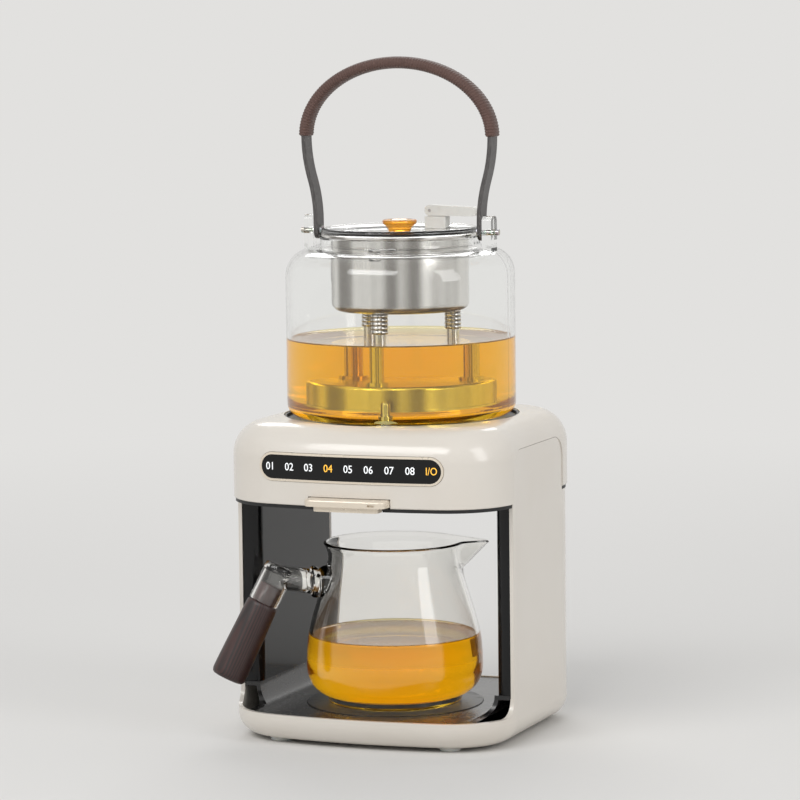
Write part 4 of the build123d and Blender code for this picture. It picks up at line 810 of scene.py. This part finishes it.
def addWinding(s):
    low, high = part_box("bail_grip")
    start = math.asin(max(0.0, min(1.0, (low[2] / mm - s["centre"]) / s["rise"])))
    count = 1200
    turns = [start + (math.pi - 2 * start) * k / count for k in range(count + 1)]
    spots = [(s["across"] * math.cos(t), s["centre"] + s["rise"] * math.sin(t)) for t in turns]
    length = sum(math.dist(a, b) for a, b in zip(spots, spots[1:]))
    rings = int(length / s["pitch"]) * s["perTurn"]
    points, faces = [], []
    gone, place = 0.0, 0
    for ring in range(rings + 1):
        target = length * ring / rings
        while place < count - 1 and gone + math.dist(spots[place], spots[place + 1]) < target:
            gone += math.dist(spots[place], spots[place + 1])
            place += 1
        a, b = spots[place], spots[place + 1]
        share = min(1, (target - gone) / math.dist(a, b))
        x, z = a[0] + (b[0] - a[0]) * share, a[1] + (b[1] - a[1]) * share
        run, rise = (b[0] - a[0]) / math.dist(a, b), (b[1] - a[1]) / math.dist(a, b)
        edge = min(target, length - target)
        shrink = 1 - 0.16 * max(0, 1 - edge / 1.2) ** 2
        for n in range(s["round"]):
            angle = 2 * math.pi * n / s["round"]
            c, d = math.cos(angle), math.sin(angle)
            squareness = (abs(c) ** 2.6 + abs(d) ** 2.6) ** (-1 / 2.6)
            phase = math.pi * target / s["pitch"] + angle / 2
            groove = s["depth"] * (1 - abs(math.sin(phase)) ** 0.7)
            wide = (s["half"][0] * squareness - groove) * shrink
            deep = (s["half"][1] * squareness - groove) * shrink
            points.append((x + wide * c * rise, deep * d, z - wide * c * run))
    size = s["round"]
    for ring in range(rings):
        for n in range(size):
            m = (n + 1) % size
            faces.append((ring * size + n, ring * size + m, (ring + 1) * size + m, (ring + 1) * size + n))
    faces.append(tuple(range(size)))
    faces.append(tuple(rings * size + n for n in range(size)))
    return pieceFrom("woundGrip", points, faces, gripCord, "bail", ("bail_grip",), sharp=70)


addWinding(windingSettings)


# ---- lid knob: a shallow dish of amber glass ----

knobOutline = [(0, 294.2), (6.4, 294.2), (6.7, 294.6), (6.9, 295.6), (7.9, 297.2), (9.4, 298.4), (10.1, 299.2),
               (10.2, 300.0), (9.9, 300.8), (9.2, 301.2), (8.0, 301.1), (6.2, 300.5), (3.4, 300.1), (0, 300.0)]
points, faces = lathe(knobOutline, 72)
pieceFrom("amberKnob", points, faces, amberGlass, "lid", ("lid_knob",), sharp=50)


# ---- key labels: plain numbers and an on/off mark ----

labelSettings = {"marks": ["01", "02", "03", "04", "05", "06", "07", "08", "I/O"], "amber": (3, 8), "pitch": 12.4,
                 "height": 4.4, "middle": 163.5, "bow": 350.6, "thick": 0.12}


def addLabels(s):
    low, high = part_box("touch_panel")
    front = low[1] / mm
    for place, mark in enumerate(s["marks"]):
        text = bpy.data.curves.new("mark", "FONT")
        text.body = mark
        text.size = s["height"] / 0.7
        text.align_x, text.align_y = "CENTER", "CENTER"
        text.extrude = s["thick"]
        text.resolution_u = 3
        holder = bpy.data.objects.new("mark", text)
        bpy.context.scene.collection.objects.link(holder)
        bpy.context.view_layer.update()
        flat = bpy.data.meshes.new_from_object(holder.evaluated_get(bpy.context.evaluated_depsgraph_get()))
        middle = (place - (len(s["marks"]) - 1) / 2) * s["pitch"]
        points = []
        for vert in flat.vertices:
            across = middle + vert.co.x * (0.82 if len(mark) > 2 else 0.92)
            face = front + s["bow"] - math.sqrt(s["bow"] ** 2 - across ** 2)
            points.append((across, face - vert.co.z - s["thick"] * 0.4, s["middle"] + vert.co.y))
        faces = [tuple(face.vertices) for face in flat.polygons]
        bpy.data.objects.remove(holder)
        pieceFrom("label" + str(place + 1), points, faces, amberGlow if place in s["amber"] else whiteGlow, "machine")


addLabels(labelSettings)
for name in ("kettle_glass", "kettle_lugs", "lid_glass"):
    if name in nodes:
        nodes[name].visible_shadow = False
for name in ("kettleTea", "jugTea", "jugBody", "amberKnob"):
    bpy.data.objects[name].visible_shadow = False
print("grip, knob and labels made")


# ---- floor and light ----

stageSettings = {"pale": shade(226, 225, 223), "rings": (0.2, 0.5, 1, 2, 5, 14), "steps": 48,
                 "lit": 0.55, "flat": 1.5, "sky": 0.5}


def seenBy(add):
    # 1 for the rays that show the backdrop: straight, mirrored or through glass
    return add("LightPath", out=0) + add("LightPath", out=3) + add("LightPath", out=6)


def addStage(s):
    f = Finish("floorCard", Specular_IOR_Level=0.15)
    fleck = f.noise(3, detail=3)
    f.feed(Base_Color=f.blend(fleck * 0.3, s["pale"], tuple(0.985 * c for c in s["pale"][:3]) + (1,)),
           Roughness=0.75 + fleck * 0.1)
    away = f.add("VectorMath", {"operation": "LENGTH"}, {0: f.place()}, out=1)
    far = f.ramp(away, s["lit"] / mm, s["flat"] / mm)
    glow = f.add("Emission", {}, {"Color": s["pale"], "Strength": 1.0})
    both = f.add("MixShader", {}, {0: far * seenBy(f.add)})
    f.tree.links.new(f.shader.outputs[0], both.socket.node.inputs[1])
    f.tree.links.new(glow.socket, both.socket.node.inputs[2])
    f.tree.links.new(both.socket, f.tree.nodes["Material Output"].inputs["Surface"])
    # the outermost ring has nothing to join, so the faces that lathe draws from it are left out
    points, faces = lathe([(0, 0)] + [(ring / mm, 0) for ring in s["rings"]], s["steps"])
    mesh = bpy.data.meshes.new("floor")
    mesh.from_pydata([tuple(mm * c for c in p) for p in points], [],
                     [face for face in faces if max(face) > 0 and face[0] < len(points) - s["steps"]])
    floor = bpy.data.objects.new("floor", mesh)
    bpy.context.scene.collection.objects.link(floor)
    mesh.materials.append(f.material)


def addLamp(name, place, aim, size, watts):
    data = bpy.data.lights.new(name, "AREA")
    data.shape = "RECTANGLE"
    data.size, data.size_y = size
    data.energy = watts
    lamp = bpy.data.objects.new(name, data)
    bpy.context.scene.collection.objects.link(lamp)
    lamp.location = place
    lamp.rotation_euler = (Vector(aim) - Vector(place)).to_track_quat("-Z", "Y").to_euler()


def addWorld(s):
    world = bpy.data.worlds.new("studio")
    bpy.context.scene.world = world
    world.use_nodes = True
    tree = world.node_tree
    sky = tree.nodes["Background"]
    path = tree.nodes.new("ShaderNodeLightPath")
    shown = tree.nodes.new("ShaderNodeMath")
    shown.operation = "MAXIMUM"
    tree.links.new(path.outputs["Is Camera Ray"], shown.inputs[0])
    either = tree.nodes.new("ShaderNodeMath")
    either.operation = "MAXIMUM"
    tree.links.new(path.outputs["Is Glossy Ray"], either.inputs[0])
    tree.links.new(path.outputs["Is Transmission Ray"], either.inputs[1])
    tree.links.new(either.outputs[0], shown.inputs[1])
    backdrop = tree.nodes.new("ShaderNodeBackground")
    backdrop.inputs["Color"].default_value = s["pale"]
    sky.inputs["Color"].default_value = (1, 1, 1, 1)
    sky.inputs["Strength"].default_value = s["sky"]
    both = tree.nodes.new("ShaderNodeMixShader")
    tree.links.new(shown.outputs[0], both.inputs[0])
    tree.links.new(sky.outputs[0], both.inputs[1])
    tree.links.new(backdrop.outputs[0], both.inputs[2])
    tree.links.new(both.outputs[0], tree.nodes["World Output"].inputs["Surface"])


addStage(stageSettings)
addWorld(stageSettings)
lampSettings = {  # place, aim, size and watts
    "frontBox": ((-0.3, -1.5, 1.5), (0, 0, 0.2), (1.6, 0.7), 17),
    "sideBox": ((1.6, -0.5, 0.9), (0, 0, 0.2), (0.6, 1.3), 7),
    "backBox": ((-0.5, 1.3, 1.2), (0, 0, 0.25), (1.2, 0.6), 7),
}
for name, lamp in lampSettings.items():
    addLamp(name, *lamp)
bpy.context.scene.view_settings.view_transform = "Standard"
print("stage and lamps set")
